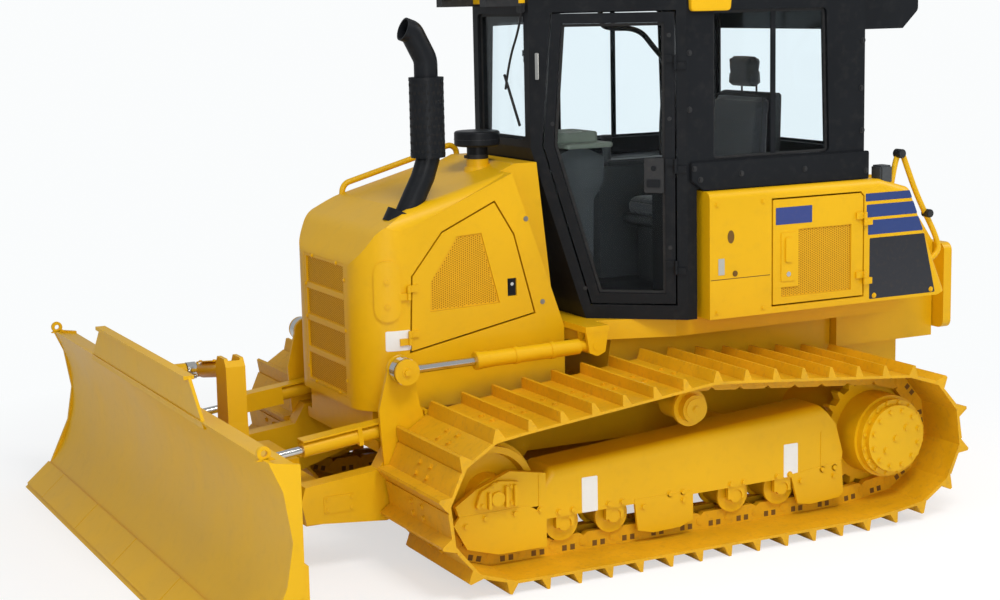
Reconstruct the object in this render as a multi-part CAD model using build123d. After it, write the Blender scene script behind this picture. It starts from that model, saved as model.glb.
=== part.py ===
from build123d import *
import math
import os

# A crawler bulldozer with a power-angle-tilt blade, a six-sided cab and wide track shoes.
# Millimetres. +X points forward, +Y to the machine's left, +Z up.
# The origin is on the ground, in the middle of the machine's bounding box.

# Overall size
front_x = 2095
rear_x = -2095
overall_height = 2785
blade_half_width = 1625

# Clearances
seat_gap = 0.3
pin_gap = 0.1
chain_gap = 0.8
rod_gap = 0.3
door_gap = 8

# Tracks
track_centre_y = 895
shoe_width = 635
shoe_count = 38
grouser_height = 47
shoe_thickness = 12
grouser_tip = 12
grouser_root = 38
shoe_lap_gap = 5
pin_height = 97
rail_height = 38
shoe_seat = pin_height - grouser_height - shoe_thickness
frame_half = 122
axle_radius = 30
guard_thickness = 12
shaft_half = frame_half - guard_thickness - seat_gap
roller_well = 290
link_inner_y = 37
link_thickness = 30
link_waist = 20
bushing_radius = 24
bushing_sides = 5
idler_x = 710
idler_pin_radius = 263
idler_z = pin_height + idler_pin_radius
sprocket_x = -1307
sprocket_z = 385
sprocket_pitches = 11
carrier_x = -275
carrier_z = 628
carrier_tread = 66
carrier_gap = 3.5
belt_bend_x = -1070
roller_tread = 65
roller_flange = 80
roller_z = pin_height + rail_height + chain_gap + roller_tread
roller_places = (375, 130, -180, -500, -750, -1000)

# Chassis
hull_half_width = 430
hull_bottom = 385
hull_top = 650
hull_front = 985
hull_rear = -1850
rear_frame_top = 700
cross_tube = (-640, 430)
cross_tube_radius = 60
deck_bottom = 880
deck_top = 970
deck_front = 40
step_rear = -1440

# Hood
hood_half_width = 450
hood_front = 1045
hood_wall = 20
hood_corner = 180
hood_shoulder = 70
panel_thickness = 25
hood_notch_y = 330
mask_half = 250
mask_bottom = 690
mask_top = 1290
engine_door_hinges = (940, 1140)
engine_door_outline = ((830, 900), (815, 1240), (665, 1425), (400, 1545), (305, 1389), (205, 1020))
engine_mesh_outline = ((728, 1075), (722, 1205), (590, 1400), (470, 1405), (385, 1085))
mesh_depth = 8

# Cab
cab_front = (130, 285)
cab_pillar = (-420, 740)
cab_rear_side = (-1400, 740)
cab_rear = (-1460, 660)
cab_wall = 50
cab_floor = deck_top
cab_top = 2500
cab_rear_sill = 1560
window_bottom = 1690
window_top = 2355
glass_thickness = 8
cab_step_x = -470
screen_half = 235
screen_bottom = 1785
rear_screen_half = 560
cab_side_length = math.dist(cab_front, cab_pillar)
door_corners = ((0.065, 1035), (0.065, 2360), (0.86, 2360), (0.925, 1760), (0.625, 1035))
door_frame_width = 45
cab_door_hinges = (1180, 1640, 2100)
hinge_reach = 14
hinge_radius = 9
hinge_pin_radius = 5
hinge_half = 30
hinge_tab = 46
hinge_foot = 24

# Side bodies and rear housing
body_inner_y = 480
body_outer_y = 800
body_front = -500
body_top = 1550
rear_housing_half = 478
rear_door_hinges = (1060, 1340)
rear_door_outline = ((-835, 1000), (-835, 1500), (-1340, 1500), (-1360, 1480), (-1360, 1000))
rear_mesh_outline = ((-890, 1040), (-890, 1085), (-985, 1085), (-985, 1350), (-1285, 1350), (-1285, 1040))
rear_box_depth = 260
grille_half_width = 560
grille_hinges = (-400, 340)
grille_axis = (-2060, 1192)

# Blade linkage
lift_pivot = (400, 470)
arm_inner_y = 470
arm_outer_y = 558
lever_inner_y = 552
lever_outer_y = 570
trunnion_radius = 45
lift_rear_pin = (0, 880)
lift_eye = (930, 860)
lift_y = 605
lift_barrel_radius = 35
lift_barrel_end = 590
lift_rod_radius = 19
angle_base = (870, 500, 604)
angle_eye = (1680, 500, 511)
angle_barrel_radius = 33
angle_barrel_end = 500
angle_ear_low = 50
angle_ear_high = 42
angle_ear_thickness = 18
angle_pin_radius = 18
angle_rod_radius = 18
yaw_x = 1500
tilt_z = 320
tower_top = (1503, 0, 830)
tilt_eye = (1503, -600, 720)
tilt_barrel_radius = 36
tilt_barrel_end = 400
tilt_rod_radius = 18
moldboard_top = 805
guard_top = 960
blade_back_x = 1790
ear_end = 1820


def polygon(*points, rounds=()):
    """A closed flat outline; rounds holds pairs of corner number and radius."""
    shape = make_face(Polyline(*points, close=True))
    for corner, radius in rounds:
        place = Vector(points[corner][0], points[corner][1], 0)
        vertex = shape.vertices().sort_by_distance(place)[0]
        shape = fillet(vertex, radius)
    return shape


def side_plate(profile, y0, y1):
    """A profile drawn in x and z, from y0 to y1."""
    return extrude(Plane.XZ.offset(-y0) * profile, amount=y1 - y0, dir=(0, 1, 0))


def top_plate(profile, z0, z1):
    """A profile drawn in x and y, from z0 to z1."""
    return extrude(Plane.XY.offset(z0) * profile, amount=z1 - z0)


def front_plate(profile, x0, x1):
    """A profile drawn in y and z, from x0 to x1."""
    return extrude(Plane.YZ.offset(x0) * profile, amount=x1 - x0)


def block(x0, x1, y0, y1, z0, z1):
    return Pos((x0 + x1) / 2, (y0 + y1) / 2, (z0 + z1) / 2) * Box(x1 - x0, y1 - y0, z1 - z0)


def bar_x(y, z, x0, x1, radius):
    return Pos((x0 + x1) / 2, y, z) * Rot(0, 90, 0) * Cylinder(radius, x1 - x0)


def bar_y(x, z, y0, y1, radius):
    return Pos(x, (y0 + y1) / 2, z) * Rot(90, 0, 0) * Cylinder(radius, y1 - y0)


def bar_z(x, y, z0, z1, radius):
    return Pos(x, y, (z0 + z1) / 2) * Cylinder(radius, z1 - z0)


def other_side(shape):
    return mirror(shape, about=Plane.XZ)


def both_sides(shape):
    return shape + other_side(shape)


def along(start, end):
    """A frame at start whose z axis points to end and whose x axis stays near vertical."""
    direction = Vector(*end) - Vector(*start)
    return Plane(origin=start, x_dir=Vector(0, 0, 1) - direction * (direction.Z / direction.length**2),
                 z_dir=direction)


def rod_between(plane, start, end, radius):
    return plane * Pos(0, 0, (start + end) / 2) * Cylinder(radius, end - start)


def hinge(axis, height, outward):
    """The fixed half with its pin and the moving half of a hinge; x of the axis runs along the leaf."""

    def leaf(side, low):
        y0, y1 = sorted((-outward * (hinge_reach - 2), -outward * (hinge_reach - 10)))
        f0, f1 = sorted((-outward * (hinge_reach + 1), -outward * (hinge_reach - 3)))
        middle = low + hinge_half / 2
        knuckle = axis * Pos(0, 0, middle) * Cylinder(hinge_radius, hinge_half)
        plate = axis * Pos(side * hinge_tab / 2, (y0 + y1) / 2, middle) * Box(hinge_tab, y1 - y0, hinge_half)
        foot = axis * Pos(side * (hinge_tab + hinge_foot) / 2, (f0 + f1) / 2, middle) * Box(
            hinge_tab - hinge_foot, f1 - f0, hinge_half)
        return knuckle + plate + foot

    high = height + hinge_half + 2
    fixed = leaf(-1, height) + axis * Pos(0, 0, height + hinge_half + 1) * Cylinder(
        hinge_pin_radius, 2 * hinge_half + 2)
    moving = leaf(1, high) - axis * Pos(0, 0, high + hinge_half / 2) * Cylinder(
        hinge_pin_radius + pin_gap, hinge_half + 4)
    return fixed, moving


# Track belt


def belt_circles(pitch):
    """Centre and pin radius of each wheel that the chain bends over, counter-clockwise."""
    return (
        (idler_x, idler_z, idler_pin_radius),
        (carrier_x, carrier_z, carrier_tread + rail_height + carrier_gap),
        (sprocket_x, sprocket_z, sprocket_pitches * pitch / (2 * math.pi)),
        (belt_bend_x, roller_z, roller_z - pin_height),
    )


def belt_path(pitch):
    """Arcs and straight runs of the pin line, as (kind, length, data)."""
    wheels = belt_circles(pitch)
    headings = []
    for (x1, z1, r1), (x2, z2, r2) in zip(wheels, wheels[1:] + wheels[:1]):
        spacing = math.hypot(x2 - x1, z2 - z1)
        headings.append(math.atan2(z2 - z1, x2 - x1) - math.acos((r1 - r2) / spacing))
    path = []
    for number, (x1, z1, r1) in enumerate(wheels):
        begin = headings[number - 1]
        turn = (headings[number] - begin) % (2 * math.pi)
        path.append(("arc", r1 * turn, (x1, z1, r1, begin)))
        x2, z2, r2 = wheels[(number + 1) % len(wheels)]
        out = (math.cos(headings[number]), math.sin(headings[number]))
        start = (x1 + r1 * out[0], z1 + r1 * out[1])
        finish = (x2 + r2 * out[0], z2 + r2 * out[1])
        path.append(("run", math.dist(start, finish), (start, finish)))
    return path


def solve_pitch():
    """The chain's pitch, which sets the sprocket's radius and follows from the loop's length."""
    pitch = 150.0
    for _ in range(40):
        pitch = sum(length for _, length, _ in belt_path(pitch)) / shoe_count
    return pitch


def chain_pins(pitch):
    """Places of the pins, one to a link, counter-clockwise seen from the right."""
    path = belt_path(pitch)
    pins = []
    for number in range(shoe_count):
        left = number * pitch
        for kind, length, data in path:
            if left <= length:
                break
            left -= length
        if kind == "arc":
            x, z, radius, begin = data
            angle = begin + left / radius
            pins.append((x + radius * math.cos(angle), z + radius * math.sin(angle)))
        else:
            start, finish = data
            share = left / length
            pins.append((start[0] + share * (finish[0] - start[0]),
                         start[1] + share * (finish[1] - start[1])))
    return pins


pitch = solve_pitch()
pins = chain_pins(pitch)
sprocket_radius = sprocket_pitches * pitch / (2 * math.pi)
idler_half_turn = pitch / idler_pin_radius / 2
idler_tread = idler_pin_radius * math.cos(idler_half_turn) - rail_height - 2 * seat_gap


def link_frames():
    """For each link, a function from (along, outward) to x and z."""
    frames = []
    for (ax, az), (bx, bz) in zip(pins, pins[1:] + pins[:1]):
        reach = math.hypot(bx - ax, bz - az)
        tx, tz = (bx - ax) / reach, (bz - az) / reach

        def place(s, h, ax=ax, az=az, tx=tx, tz=tz):
            return (ax + s * tx + h * tz, az + s * tz - h * tx)

        frames.append((place, reach))
    return frames


def track():
    """One closed loop: shoes with their grousers, two rows of links and the bushings."""
    plate_outer = shoe_seat + shoe_thickness
    tip = plate_outer + grouser_height
    frames = link_frames()
    outer, inner, rail, link_back = [], [], [], []
    for place, reach in frames:
        outer += [place(0, tip), place(grouser_tip, tip), place(grouser_root, plate_outer),
                  place(reach - shoe_lap_gap, plate_outer),
                  place(reach - shoe_lap_gap, shoe_seat + shoe_thickness / 2)]
        inner.append(place(0, shoe_seat))
        rail += [place(link_waist, -rail_height), place(reach - link_waist, -rail_height),
                 place(reach, -bushing_radius)]
    for number, (place, reach) in enumerate(frames):
        before, length = frames[number - 1]
        one, two = place(0, shoe_seat + 4), before(length, shoe_seat + 4)
        link_back.append(((one[0] + two[0]) / 2, (one[1] + two[1]) / 2))
    half = shoe_width / 2
    belt = side_plate(polygon(*outer) - polygon(*inner), track_centre_y - half, track_centre_y + half)
    row = polygon(*link_back) - polygon(*rail)
    rows = []
    for side in (-1, 1):
        near = track_centre_y + side * (link_inner_y + link_thickness / 2) - link_thickness / 2
        rows.append(side_plate(row, near, near + link_thickness))
    bushing = RegularPolygon(bushing_radius, bushing_sides)
    bushings = []
    for x, z in pins:
        pin = side_plate(Pos(x, z) * bushing, track_centre_y - link_inner_y, track_centre_y + link_inner_y)
        bushings.append(pin)
    return belt.fuse(*rows, *bushings)


def sprocket():
    """Toothed ring that carries the chain, with the final drive's housing and its bolted cover."""
    gaps = 2 * sprocket_pitches
    on_sprocket = min(pins, key=lambda pin: math.dist(pin, (sprocket_x - sprocket_radius, sprocket_z)))
    first = math.atan2(on_sprocket[1] - sprocket_z, on_sprocket[0] - sprocket_x)
    root = sprocket_radius - bushing_radius - 1.5
    tip = sprocket_radius + 8
    points = []
    for number in range(gaps):
        centre = first + (number + 0.5) * 2 * math.pi / gaps
        for radius, half in ((root, 16), (tip, 6), (tip, -6), (root, -16)):
            angle = centre - half / radius
            points.append((sprocket_x + radius * math.cos(angle), sprocket_z + radius * math.sin(angle)))
    ring = side_plate(polygon(*points), track_centre_y - 25, track_centre_y + 25)
    housing = bar_y(sprocket_x, sprocket_z, hull_half_width, track_centre_y - 20, 165)
    hub = bar_y(sprocket_x, sprocket_z, track_centre_y, track_centre_y + 165, 192)
    rim = bar_y(sprocket_x, sprocket_z, track_centre_y + 160, track_centre_y + 200, 178)
    cover = bar_y(sprocket_x, sprocket_z, track_centre_y + 195, track_centre_y + 225, 155)
    return ring.fuse(housing, hub, rim, cover)


def idler():
    """Front wheel: a flanged rim on a dished web, on its axle."""
    rim_half = link_inner_y + link_thickness + 6
    flange = idler_pin_radius - bushing_radius - 8
    profile = polygon(
        (0, -rim_half), (idler_tread, -rim_half), (idler_tread, -30), (flange, -22), (flange, 22),
        (idler_tread, 30), (idler_tread, rim_half), (idler_tread - 28, rim_half),
        (idler_tread - 36, 22), (95, 22), (85, rim_half + 12), (0, rim_half + 12))
    wheel = revolve(Plane.XY * profile, Axis.Y, 360)
    axle = bar_y(0, 0, -frame_half + 2, frame_half - 2, axle_radius)
    return Pos(idler_x, track_centre_y, idler_z) * (wheel + axle)


def rollers():
    """Six bottom rollers with outer flanges and one carrier roller, each on its shaft."""
    row = link_inner_y + link_thickness
    parts = []
    for x in roller_places:
        roller = bar_y(x, roller_z, track_centre_y - row - 14, track_centre_y + row + 14, roller_tread)
        for side in (-1, 1):
            near = track_centre_y + side * (row + 9) - 7
            roller += bar_y(x, roller_z, near, near + 14, roller_flange)
        parts.append(roller + bar_y(x, roller_z, track_centre_y - shaft_half, track_centre_y + shaft_half,
                                    axle_radius))
    carrier = bar_y(carrier_x, carrier_z, track_centre_y - row - 4, track_centre_y + row + 4, carrier_tread)
    carrier += bar_y(carrier_x, carrier_z, track_centre_y + row + 3, track_centre_y + row + 22, 84)
    carrier += bar_y(carrier_x, carrier_z, track_centre_y + row + 21, track_centre_y + 130, 62)
    carrier += bar_y(carrier_x, carrier_z, hull_half_width, track_centre_y - row - 3, 32)
    parts.append(carrier)
    return Compound(children=[solid for part in parts for solid in part.solids()])


def track_frame():
    """Tapered box beam, open below over the rollers, with roller saddles, idler yoke and guards."""
    inner, outer = track_centre_y - frame_half, track_centre_y + frame_half
    beam = polygon(
        (470, 238), (-1070, 250), (-1080, 330), (-1040, 470), (-960, 560), (440, 455), (500, 380),
        (500, 280), rounds=((0, 20), (5, 30)))
    frame = side_plate(beam, inner, outer)
    long_edges = frame.edges().filter_by(GeomType.LINE).filter_by(
        lambda edge: abs(edge.center().Z - 507) < 20 and edge.length > 1000)
    frame = fillet(long_edges, 45)
    for side in (inner, outer - 28):
        yoke = polygon((470, 300), (880, 305), (895, 350), (800, 410), (640, 470), (470, 440))
        frame += side_plate(yoke, side, side + 28)
    frame -= block(-1200, 480, inner + 20, outer - 20, 200, roller_well)
    idler_room = link_inner_y + link_thickness + 22
    frame -= bar_y(idler_x, idler_z, track_centre_y - idler_room, track_centre_y + idler_room, 246)
    frame -= bar_y(sprocket_x, sprocket_z, track_centre_y - 32, track_centre_y + 32, sprocket_radius + 15)
    frame -= bar_y(sprocket_x, sprocket_z, inner - 5, outer + 5, 205)
    frame -= bar_y(idler_x, idler_z, inner - 5, outer + 5, axle_radius + pin_gap)
    for x in roller_places:
        for y in (inner + 6, outer - 28):
            frame += block(x - 44, x + 44, y, y + 22, roller_z - 12, roller_well + 5)
            frame -= bar_y(x, roller_z, y - 1, y + 23, axle_radius + seat_gap)
    y0, y1 = outer - guard_thickness, outer + 2
    nose = polygon((470, 262), (470, 118), (700, 118), (845, 160), (905, 270), (880, 305), (560, 310))
    middle = polygon((35, 262), (20, 120), (-60, 100), (-200, 105), (-265, 130), (-265, 262))
    rear = polygon((-790, 262), (-830, 120), (-900, 108), (-1060, 118), (-1085, 140), (-1072, 290))
    for plate in (nose, middle, rear):
        frame += side_plate(plate, y0, y1)
    return frame


# Chassis


def main_frame():
    """Welded hull between the tracks with its cross tubes and drawbar."""
    hull = side_plate(polygon(
        (hull_front, 470), (hull_front, hull_top), (-160, hull_top), (-200, deck_bottom),
        (step_rear, deck_bottom), (step_rear, rear_frame_top), (hull_rear, rear_frame_top),
        (hull_rear, 470), (-1700, hull_bottom), (850, hull_bottom)), -hull_half_width, hull_half_width)
    hull -= both_sides(block(-150, hull_front + 5, hull_half_width - 55, hull_half_width + 5, 520, hull_top + 5))
    tube_x, tube_z = cross_tube
    hull += both_sides(bar_y(tube_x, tube_z, hull_half_width - 5, track_centre_y - frame_half, cross_tube_radius))
    tongue = polygon((hull_rear + 5, -170), (-1990, -110), (-2040, -60), (rear_x, -60), (rear_x, 60),
                     (-2040, 60), (-1990, 110), (hull_rear + 5, 170))
    drawbar = top_plate(tongue, 470, 515)
    drawbar -= bar_z(-2050, 0, 460, 520, 20)
    hull += drawbar
    for y in (-300, 300):
        for z in (540, 640):
            hull -= bar_x(y, z, hull_rear - 1, hull_rear + 40, 12)
    return hull


def trunnion():
    """Pin on the hull's side that the C-frame's arm turns on, with its end cap."""
    x, z = lift_pivot
    pin = bar_y(x, z, hull_half_width, arm_outer_y, trunnion_radius)
    neck = bar_y(x, z, arm_outer_y, arm_outer_y + 5, trunnion_radius - 10)
    cap = bar_y(x, z, arm_outer_y + 5, arm_outer_y + 12, trunnion_radius + 14)
    return pin + neck + cap


def deck():
    """Floor frame under the cab and the side bodies, with the lift cylinders' rear brackets."""
    plate = top_plate(polygon((deck_front, -420), (deck_front, 420), (-60, 520), (-420, 640),
                              (-1700, 640), (-1700, rear_housing_half), (step_rear, rear_housing_half),
                              (step_rear, -rear_housing_half), (-1700, -rear_housing_half),
                              (-1700, -640), (-420, -640), (-60, -520)), deck_bottom, deck_top - seat_gap)
    near, far = lift_y - 26, lift_y + 26
    arm = block(-60, 60, 400, lift_y + 46, deck_bottom + 62, deck_top - seat_gap)
    for y in (near - 18, far):
        ear = polygon((-60, deck_top - 1), (60, deck_top - 1), (40, 850), (0, 832), (-40, 850),
                      rounds=((3, 30),))
        arm += side_plate(ear, y, y + 18)
    arm += bar_y(lift_rear_pin[0], lift_rear_pin[1], near - 20, far + 20, 22)
    return plate + both_sides(arm)


def hood_form(inset):
    """The hood's outer form, or with an inset the space inside it."""
    side = polygon(
        (hood_front - inset, hull_top), (hood_front - inset, 1300), (960 - inset * 0.4, 1440 - inset * 0.8),
        (800, 1530 - inset), (300, 1665 - inset), (240, 1690 - inset), (125 + inset, 1690 - inset),
        (60 + inset, 1100), (60 + inset, hull_top), rounds=((1, 90), (2, 120)))
    form = side_plate(side, -hood_half_width + inset, hood_half_width - inset)
    upper = form.edges().filter_by(
        lambda edge: abs(edge.center().Y) > hood_half_width - inset - 1 and edge.center().Z > 1500
        and edge.center().X > 250 and edge.length > 200)
    form = fillet(upper, hood_shoulder - inset)
    plan = polygon((hood_front, -hood_half_width + inset), (hood_front, hood_half_width - inset),
                   (0, hood_half_width - inset), (0, -hood_half_width + inset),
                   rounds=((0, hood_corner), (1, hood_corner)))
    form &= top_plate(Pos(-inset, 0) * plan, hull_top, 1750)
    notch = polygon((30, 940), (57 + inset, 940), (328 + inset, 1705), (328 + inset, 1800), (30, 1800))
    return form - both_sides(side_plate(notch, hood_notch_y - inset, hood_half_width + 10))


def shrink(points, gap):
    """The outline moved inwards by the gap."""
    return offset(polygon(*points), amount=-gap, kind=Kind.INTERSECTION)


def hood():
    """Thin shell with an opening for the mask in front and a door opening on each side."""
    shell = hood_form(0)
    shell -= hood_form(hood_wall)
    door = side_plate(polygon(*engine_door_outline), hood_half_width - 60, hood_half_width + 10)
    shell -= both_sides(door)
    shell -= block(hood_front - 60, hood_front + 5, -mask_half, mask_half, mask_bottom, mask_top)
    for z in engine_door_hinges:
        shell += both_sides(hinge(engine_door_axis(), z, -1)[0])
    return shell


def front_mask():
    """Front grille frame with its stacked mesh panels set back."""
    edge = 0.3
    plate = block(hood_front - hood_wall, hood_front - 1, -mask_half + edge, mask_half - edge,
                  mask_bottom + edge, mask_top - edge)
    rows = 4
    height = (mask_top - mask_bottom) / rows
    for row in range(rows):
        for side in (-1, 1):
            z = mask_bottom + row * height
            y0, y1 = sorted((side * 14, side * (mask_half - 24)))
            plate -= block(hood_front - 9, hood_front, y0, y1, z + 14, z + height - 14)
    return plate


def engine_door_axis():
    return Plane(origin=(832, hood_half_width + hinge_reach, 0), x_dir=(-1, 0, 0), z_dir=(0, 0, 1))


def engine_door():
    """Side door of the hood with a recessed mesh panel and a flush latch."""
    door = side_plate(shrink(engine_door_outline, door_gap), hood_half_width - panel_thickness,
                      hood_half_width)
    door -= side_plate(polygon(*engine_mesh_outline), hood_half_width - mesh_depth, hood_half_width + 1)
    door -= block(300, 345, hood_half_width - 10, hood_half_width + 1, 1110, 1190)
    for z in engine_door_hinges:
        door += hinge(engine_door_axis(), z, -1)[1]
    return door


def engine_block():
    return block(140, 860, -270, 270, hull_top, 1240)


def exhaust_stack():
    """Stack with a slanted foot, a straight guard tube and a curved tip."""
    y = 350
    line = FilletPolyline((800, y, 1470), (700, y, 1660), (672, y, 1740), (672, y, 2170),
                          (735, y, 2290), (775, y, 2305), radius=(60, 60, 90, 30))
    outer = sweep(Plane(origin=line @ 0, z_dir=line % 0) * Circle(52), path=line)
    guard = bar_z(672, y, 1745, 2095, 76)
    foot = Pos(812, y, 1478) * Rot(0, -28, 0) * Cylinder(74, 60)
    stack = outer + guard + foot
    bore = Plane(origin=line @ 1, z_dir=line % 1) * Cylinder(44, 120)
    return stack - bore - hood_form(0)


def precleaner():
    """Air intake pipe with its round cap."""
    pipe = bar_z(310, 100, 1640, 1765, 48)
    cap = Pos(310, 100, 1795) * Cylinder(105, 70)
    cap = fillet(cap.edges().filter_by(GeomType.CIRCLE), 12)
    return pipe + cap - hood_form(0)


def handrail():
    """Tube rail along the hood's right shoulder."""
    y = -390
    line = FilletPolyline((800, y, 1400), (783, y, 1575), (190, y, 1738), (178, y, 1640), radius=(50, 40))
    return sweep(Plane(origin=line @ 0, z_dir=line % 0) * Circle(14), path=line) - hood_form(0)


def side_body():
    """Box beside the cab with a slanted rear edge, a door opening and a compartment behind it."""
    outline = polygon(
        (body_front, deck_top), (body_front, body_top), (-1460, body_top), (-1635, 1500),
        (-1840, 1020), (-1840, 985), (-1800, deck_top), rounds=((2, 60), (3, 40)))
    body = side_plate(outline, body_inner_y, body_outer_y)
    top_edges = body.edges().filter_by(
        lambda edge: abs(edge.center().Y - body_outer_y) < 1 and edge.center().Z > body_top - 1
        and edge.length > 500)
    body = fillet(top_edges, 35)
    body -= side_plate(polygon(*rear_door_outline), body_outer_y - rear_box_depth, body_outer_y + 5)
    for z in rear_door_hinges:
        body += hinge(rear_door_axis(), z, 1)[0]
    return body


def rear_door_axis():
    return Plane(origin=(rear_door_outline[-1][0] + door_gap / 2, body_outer_y + hinge_reach, 0),
                 x_dir=(1, 0, 0), z_dir=(0, 0, 1))


def rear_door():
    """Service door of the side body with a recessed mesh panel."""
    door = side_plate(shrink(rear_door_outline, door_gap), body_outer_y - panel_thickness, body_outer_y)
    door -= side_plate(polygon(*rear_mesh_outline), body_outer_y - mesh_depth, body_outer_y + 1)
    for z in rear_door_hinges:
        door += hinge(rear_door_axis(), z, 1)[1]
    return door


def rear_housing():
    """Radiator housing behind the cab, open to the rear, with a slanted top."""
    outline = polygon((step_rear - 5, rear_frame_top), (step_rear - 5, 1550), (-1700, 1530), (-1950, 1300),
                      (-2035, 1180), (-2035, rear_frame_top), rounds=((2, 80), (3, 60)))
    housing = side_plate(outline, -rear_housing_half, rear_housing_half)
    housing -= block(-2040, -1900, -430, 430, 760, 1150)
    for y in grille_hinges:
        housing += grille_hinge(y)[0]
    return housing


def grille_hinge(y):
    """The housing's half with its pin and the grille's half of a hinge along the grille's top edge."""
    x, z = grille_axis
    fixed = bar_y(x, z, y, y + hinge_half, hinge_radius)
    fixed += bar_y(x, z, y, y + 2 * hinge_half + 2, hinge_pin_radius)
    fixed += block(x, -1990, y, y + hinge_half, z - 5, z + 5)
    far = y + hinge_half + 2
    moving = bar_y(x, z, far, far + hinge_half, hinge_radius)
    moving += block(x - 5, x + 5, far, far + hinge_half, z - 40, z)
    moving -= bar_y(x, z, far - 2, far + hinge_half + 2, hinge_pin_radius + pin_gap)
    return fixed, moving


def rear_grille():
    """Swing-up rear grille with its fan ring."""
    frame = block(-2090, -2041, -grille_half_width, grille_half_width, 745, 1175)
    frame = fillet(frame.edges().filter_by(Axis.X), 40)
    for side in (-1, 1):
        y0, y1 = sorted((side * 25, side * (grille_half_width - 50)))
        frame -= block(-2095, -2080, y0, y1, 790, 1130)
    ring = bar_x(0, 955, -2042, -1960, 180) - bar_x(0, 955, -2042, -1950, 168)
    hub = bar_x(0, 955, -2042, -1970, 50)
    for number in range(6):
        blade = Pos(-2000, 0, 955) * Rot(number * 60, 0, 0) * Pos(0, 0, 100) * Rot(0, 0, 35) * Box(6, 52, 130)
        hub += blade
    grille = frame + ring + hub
    for y in grille_hinges:
        grille += grille_hinge(y)[1]
    return grille


# Cab


def cab_plan(inset):
    """Six-sided plan of the cab, or the space inside its walls."""
    front_x, front_y = cab_front
    side_x, side_y = cab_pillar
    points = [(front_x, front_y), (side_x, side_y), cab_rear_side, cab_rear]
    points += [(x, -y) for x, y in reversed(points)]
    shape = polygon(*points)
    return offset(shape, amount=-inset, kind=Kind.INTERSECTION) if inset else shape


def cab_side_profile(inset):
    """Side view of the cab: sloped toe below the windscreen and the step over the side bodies."""
    front, rear = cab_front[0], cab_rear[0]
    step = cab_step_x + inset
    return polygon(
        (front - inset, cab_top + 10), (front - inset, 1750), (-40 - inset, 1040),
        (-60 - inset, cab_floor + inset), (step, cab_floor + inset), (step, cab_rear_sill + inset),
        (rear + inset, cab_rear_sill + inset), (rear + inset, cab_top + 10))


def side_wall_plane():
    """Plane of the slanting side wall: x runs from the rear pillar forwards, z points inwards."""
    direction = Vector(cab_front[0] - cab_pillar[0], cab_front[1] - cab_pillar[1], 0)
    return Plane(origin=(cab_pillar[0], cab_pillar[1], 0), x_dir=direction,
                 z_dir=direction.cross(Vector(0, 0, 1)))


def rounded_pane(half_width, low, high):
    return polygon((-half_width, low), (half_width, low), (half_width, high), (-half_width, high),
                   rounds=((0, 25), (1, 25), (2, 25), (3, 25)))


def quarter_pane(gap):
    shape = polygon((-560, window_bottom), (-560, window_top), (-1180, window_top), (-1200, window_bottom),
                    rounds=((0, 25), (1, 25), (2, 25), (3, 25)))
    return offset(shape, amount=-gap) if gap else shape


def cab_frame():
    """Welded cab shell with a door opening on each side and its windows cut."""
    shell = top_plate(cab_plan(0), cab_floor, cab_top) & side_plate(cab_side_profile(0), -800, 800)
    tub_half = body_inner_y - 2
    shell += block(step_rear, cab_step_x + 5, -tub_half, tub_half, cab_floor, cab_rear_sill + 10)
    hollow = top_plate(cab_plan(cab_wall), cab_floor - 1, cab_top + 1)
    shell -= hollow & side_plate(cab_side_profile(cab_wall), -800, 800)
    shell -= block(step_rear + cab_wall, cab_step_x + 120, -tub_half + 40, tub_half - 40,
                   cab_floor + cab_wall, cab_rear_sill + 100)
    opening = polygon(*[(share * cab_side_length, z) for share, z in door_corners])
    shell -= both_sides(extrude(side_wall_plane() * opening, amount=cab_wall * 1.6, both=True))
    shell -= side_plate(quarter_pane(0), -800, 800)
    shell -= front_plate(rounded_pane(screen_half, screen_bottom, window_top), 50, 140)
    shell -= front_plate(rounded_pane(rear_screen_half, window_bottom, window_top), -1470, -1400)
    for z in cab_door_hinges:
        shell += both_sides(hinge(cab_door_axis(), z, 1)[0])
    return shell


def cab_door_outlines():
    """The door leaf and its pane, drawn in the plane of the side wall."""
    opening = polygon(*[(share * cab_side_length, z) for share, z in door_corners])
    leaf = offset(opening, amount=-door_gap, kind=Kind.INTERSECTION)
    pane = offset(opening, amount=-door_gap - door_frame_width, kind=Kind.INTERSECTION)
    return leaf, pane


def cab_door_axis():
    """Hinge frame on the outside of the rear pillar: x along the leaf, z up."""
    wall = side_wall_plane()
    out = wall.z_dir * -1
    origin = wall.origin + wall.x_dir * (door_corners[0][0] * cab_side_length + door_gap / 2) + out * hinge_reach
    return Plane(origin=origin, x_dir=wall.x_dir, z_dir=Vector(0, 0, 1))


def cab_door():
    """Framed door leaf in the slanting side wall, with its hinge halves and handle."""
    wall = side_wall_plane()
    leaf, pane = cab_door_outlines()
    frame = extrude(wall * leaf, amount=cab_wall - 8)
    frame -= extrude(wall * pane, amount=cab_wall * 2, both=True)
    for z in cab_door_hinges:
        frame += hinge(cab_door_axis(), z, 1)[1]
    return frame


def door_glass():
    _, pane = cab_door_outlines()
    return extrude(side_wall_plane().offset(20) * pane, amount=glass_thickness)


def cab_glass():
    """Fixed panes, each set in the middle of its wall."""
    screen = front_plate(rounded_pane(screen_half - seat_gap, screen_bottom + seat_gap, window_top - seat_gap),
                         cab_front[0] - 30, cab_front[0] - 30 + glass_thickness)
    back = front_plate(rounded_pane(rear_screen_half - seat_gap, window_bottom + seat_gap, window_top - seat_gap),
                       cab_rear[0] + 20, cab_rear[0] + 20 + glass_thickness)
    quarter = side_plate(quarter_pane(seat_gap), cab_pillar[1] - 29, cab_pillar[1] - 29 + glass_thickness)
    panes = (screen, back, quarter, other_side(quarter))
    return Compound(children=[solid for pane in panes for solid in pane.solids()])


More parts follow.
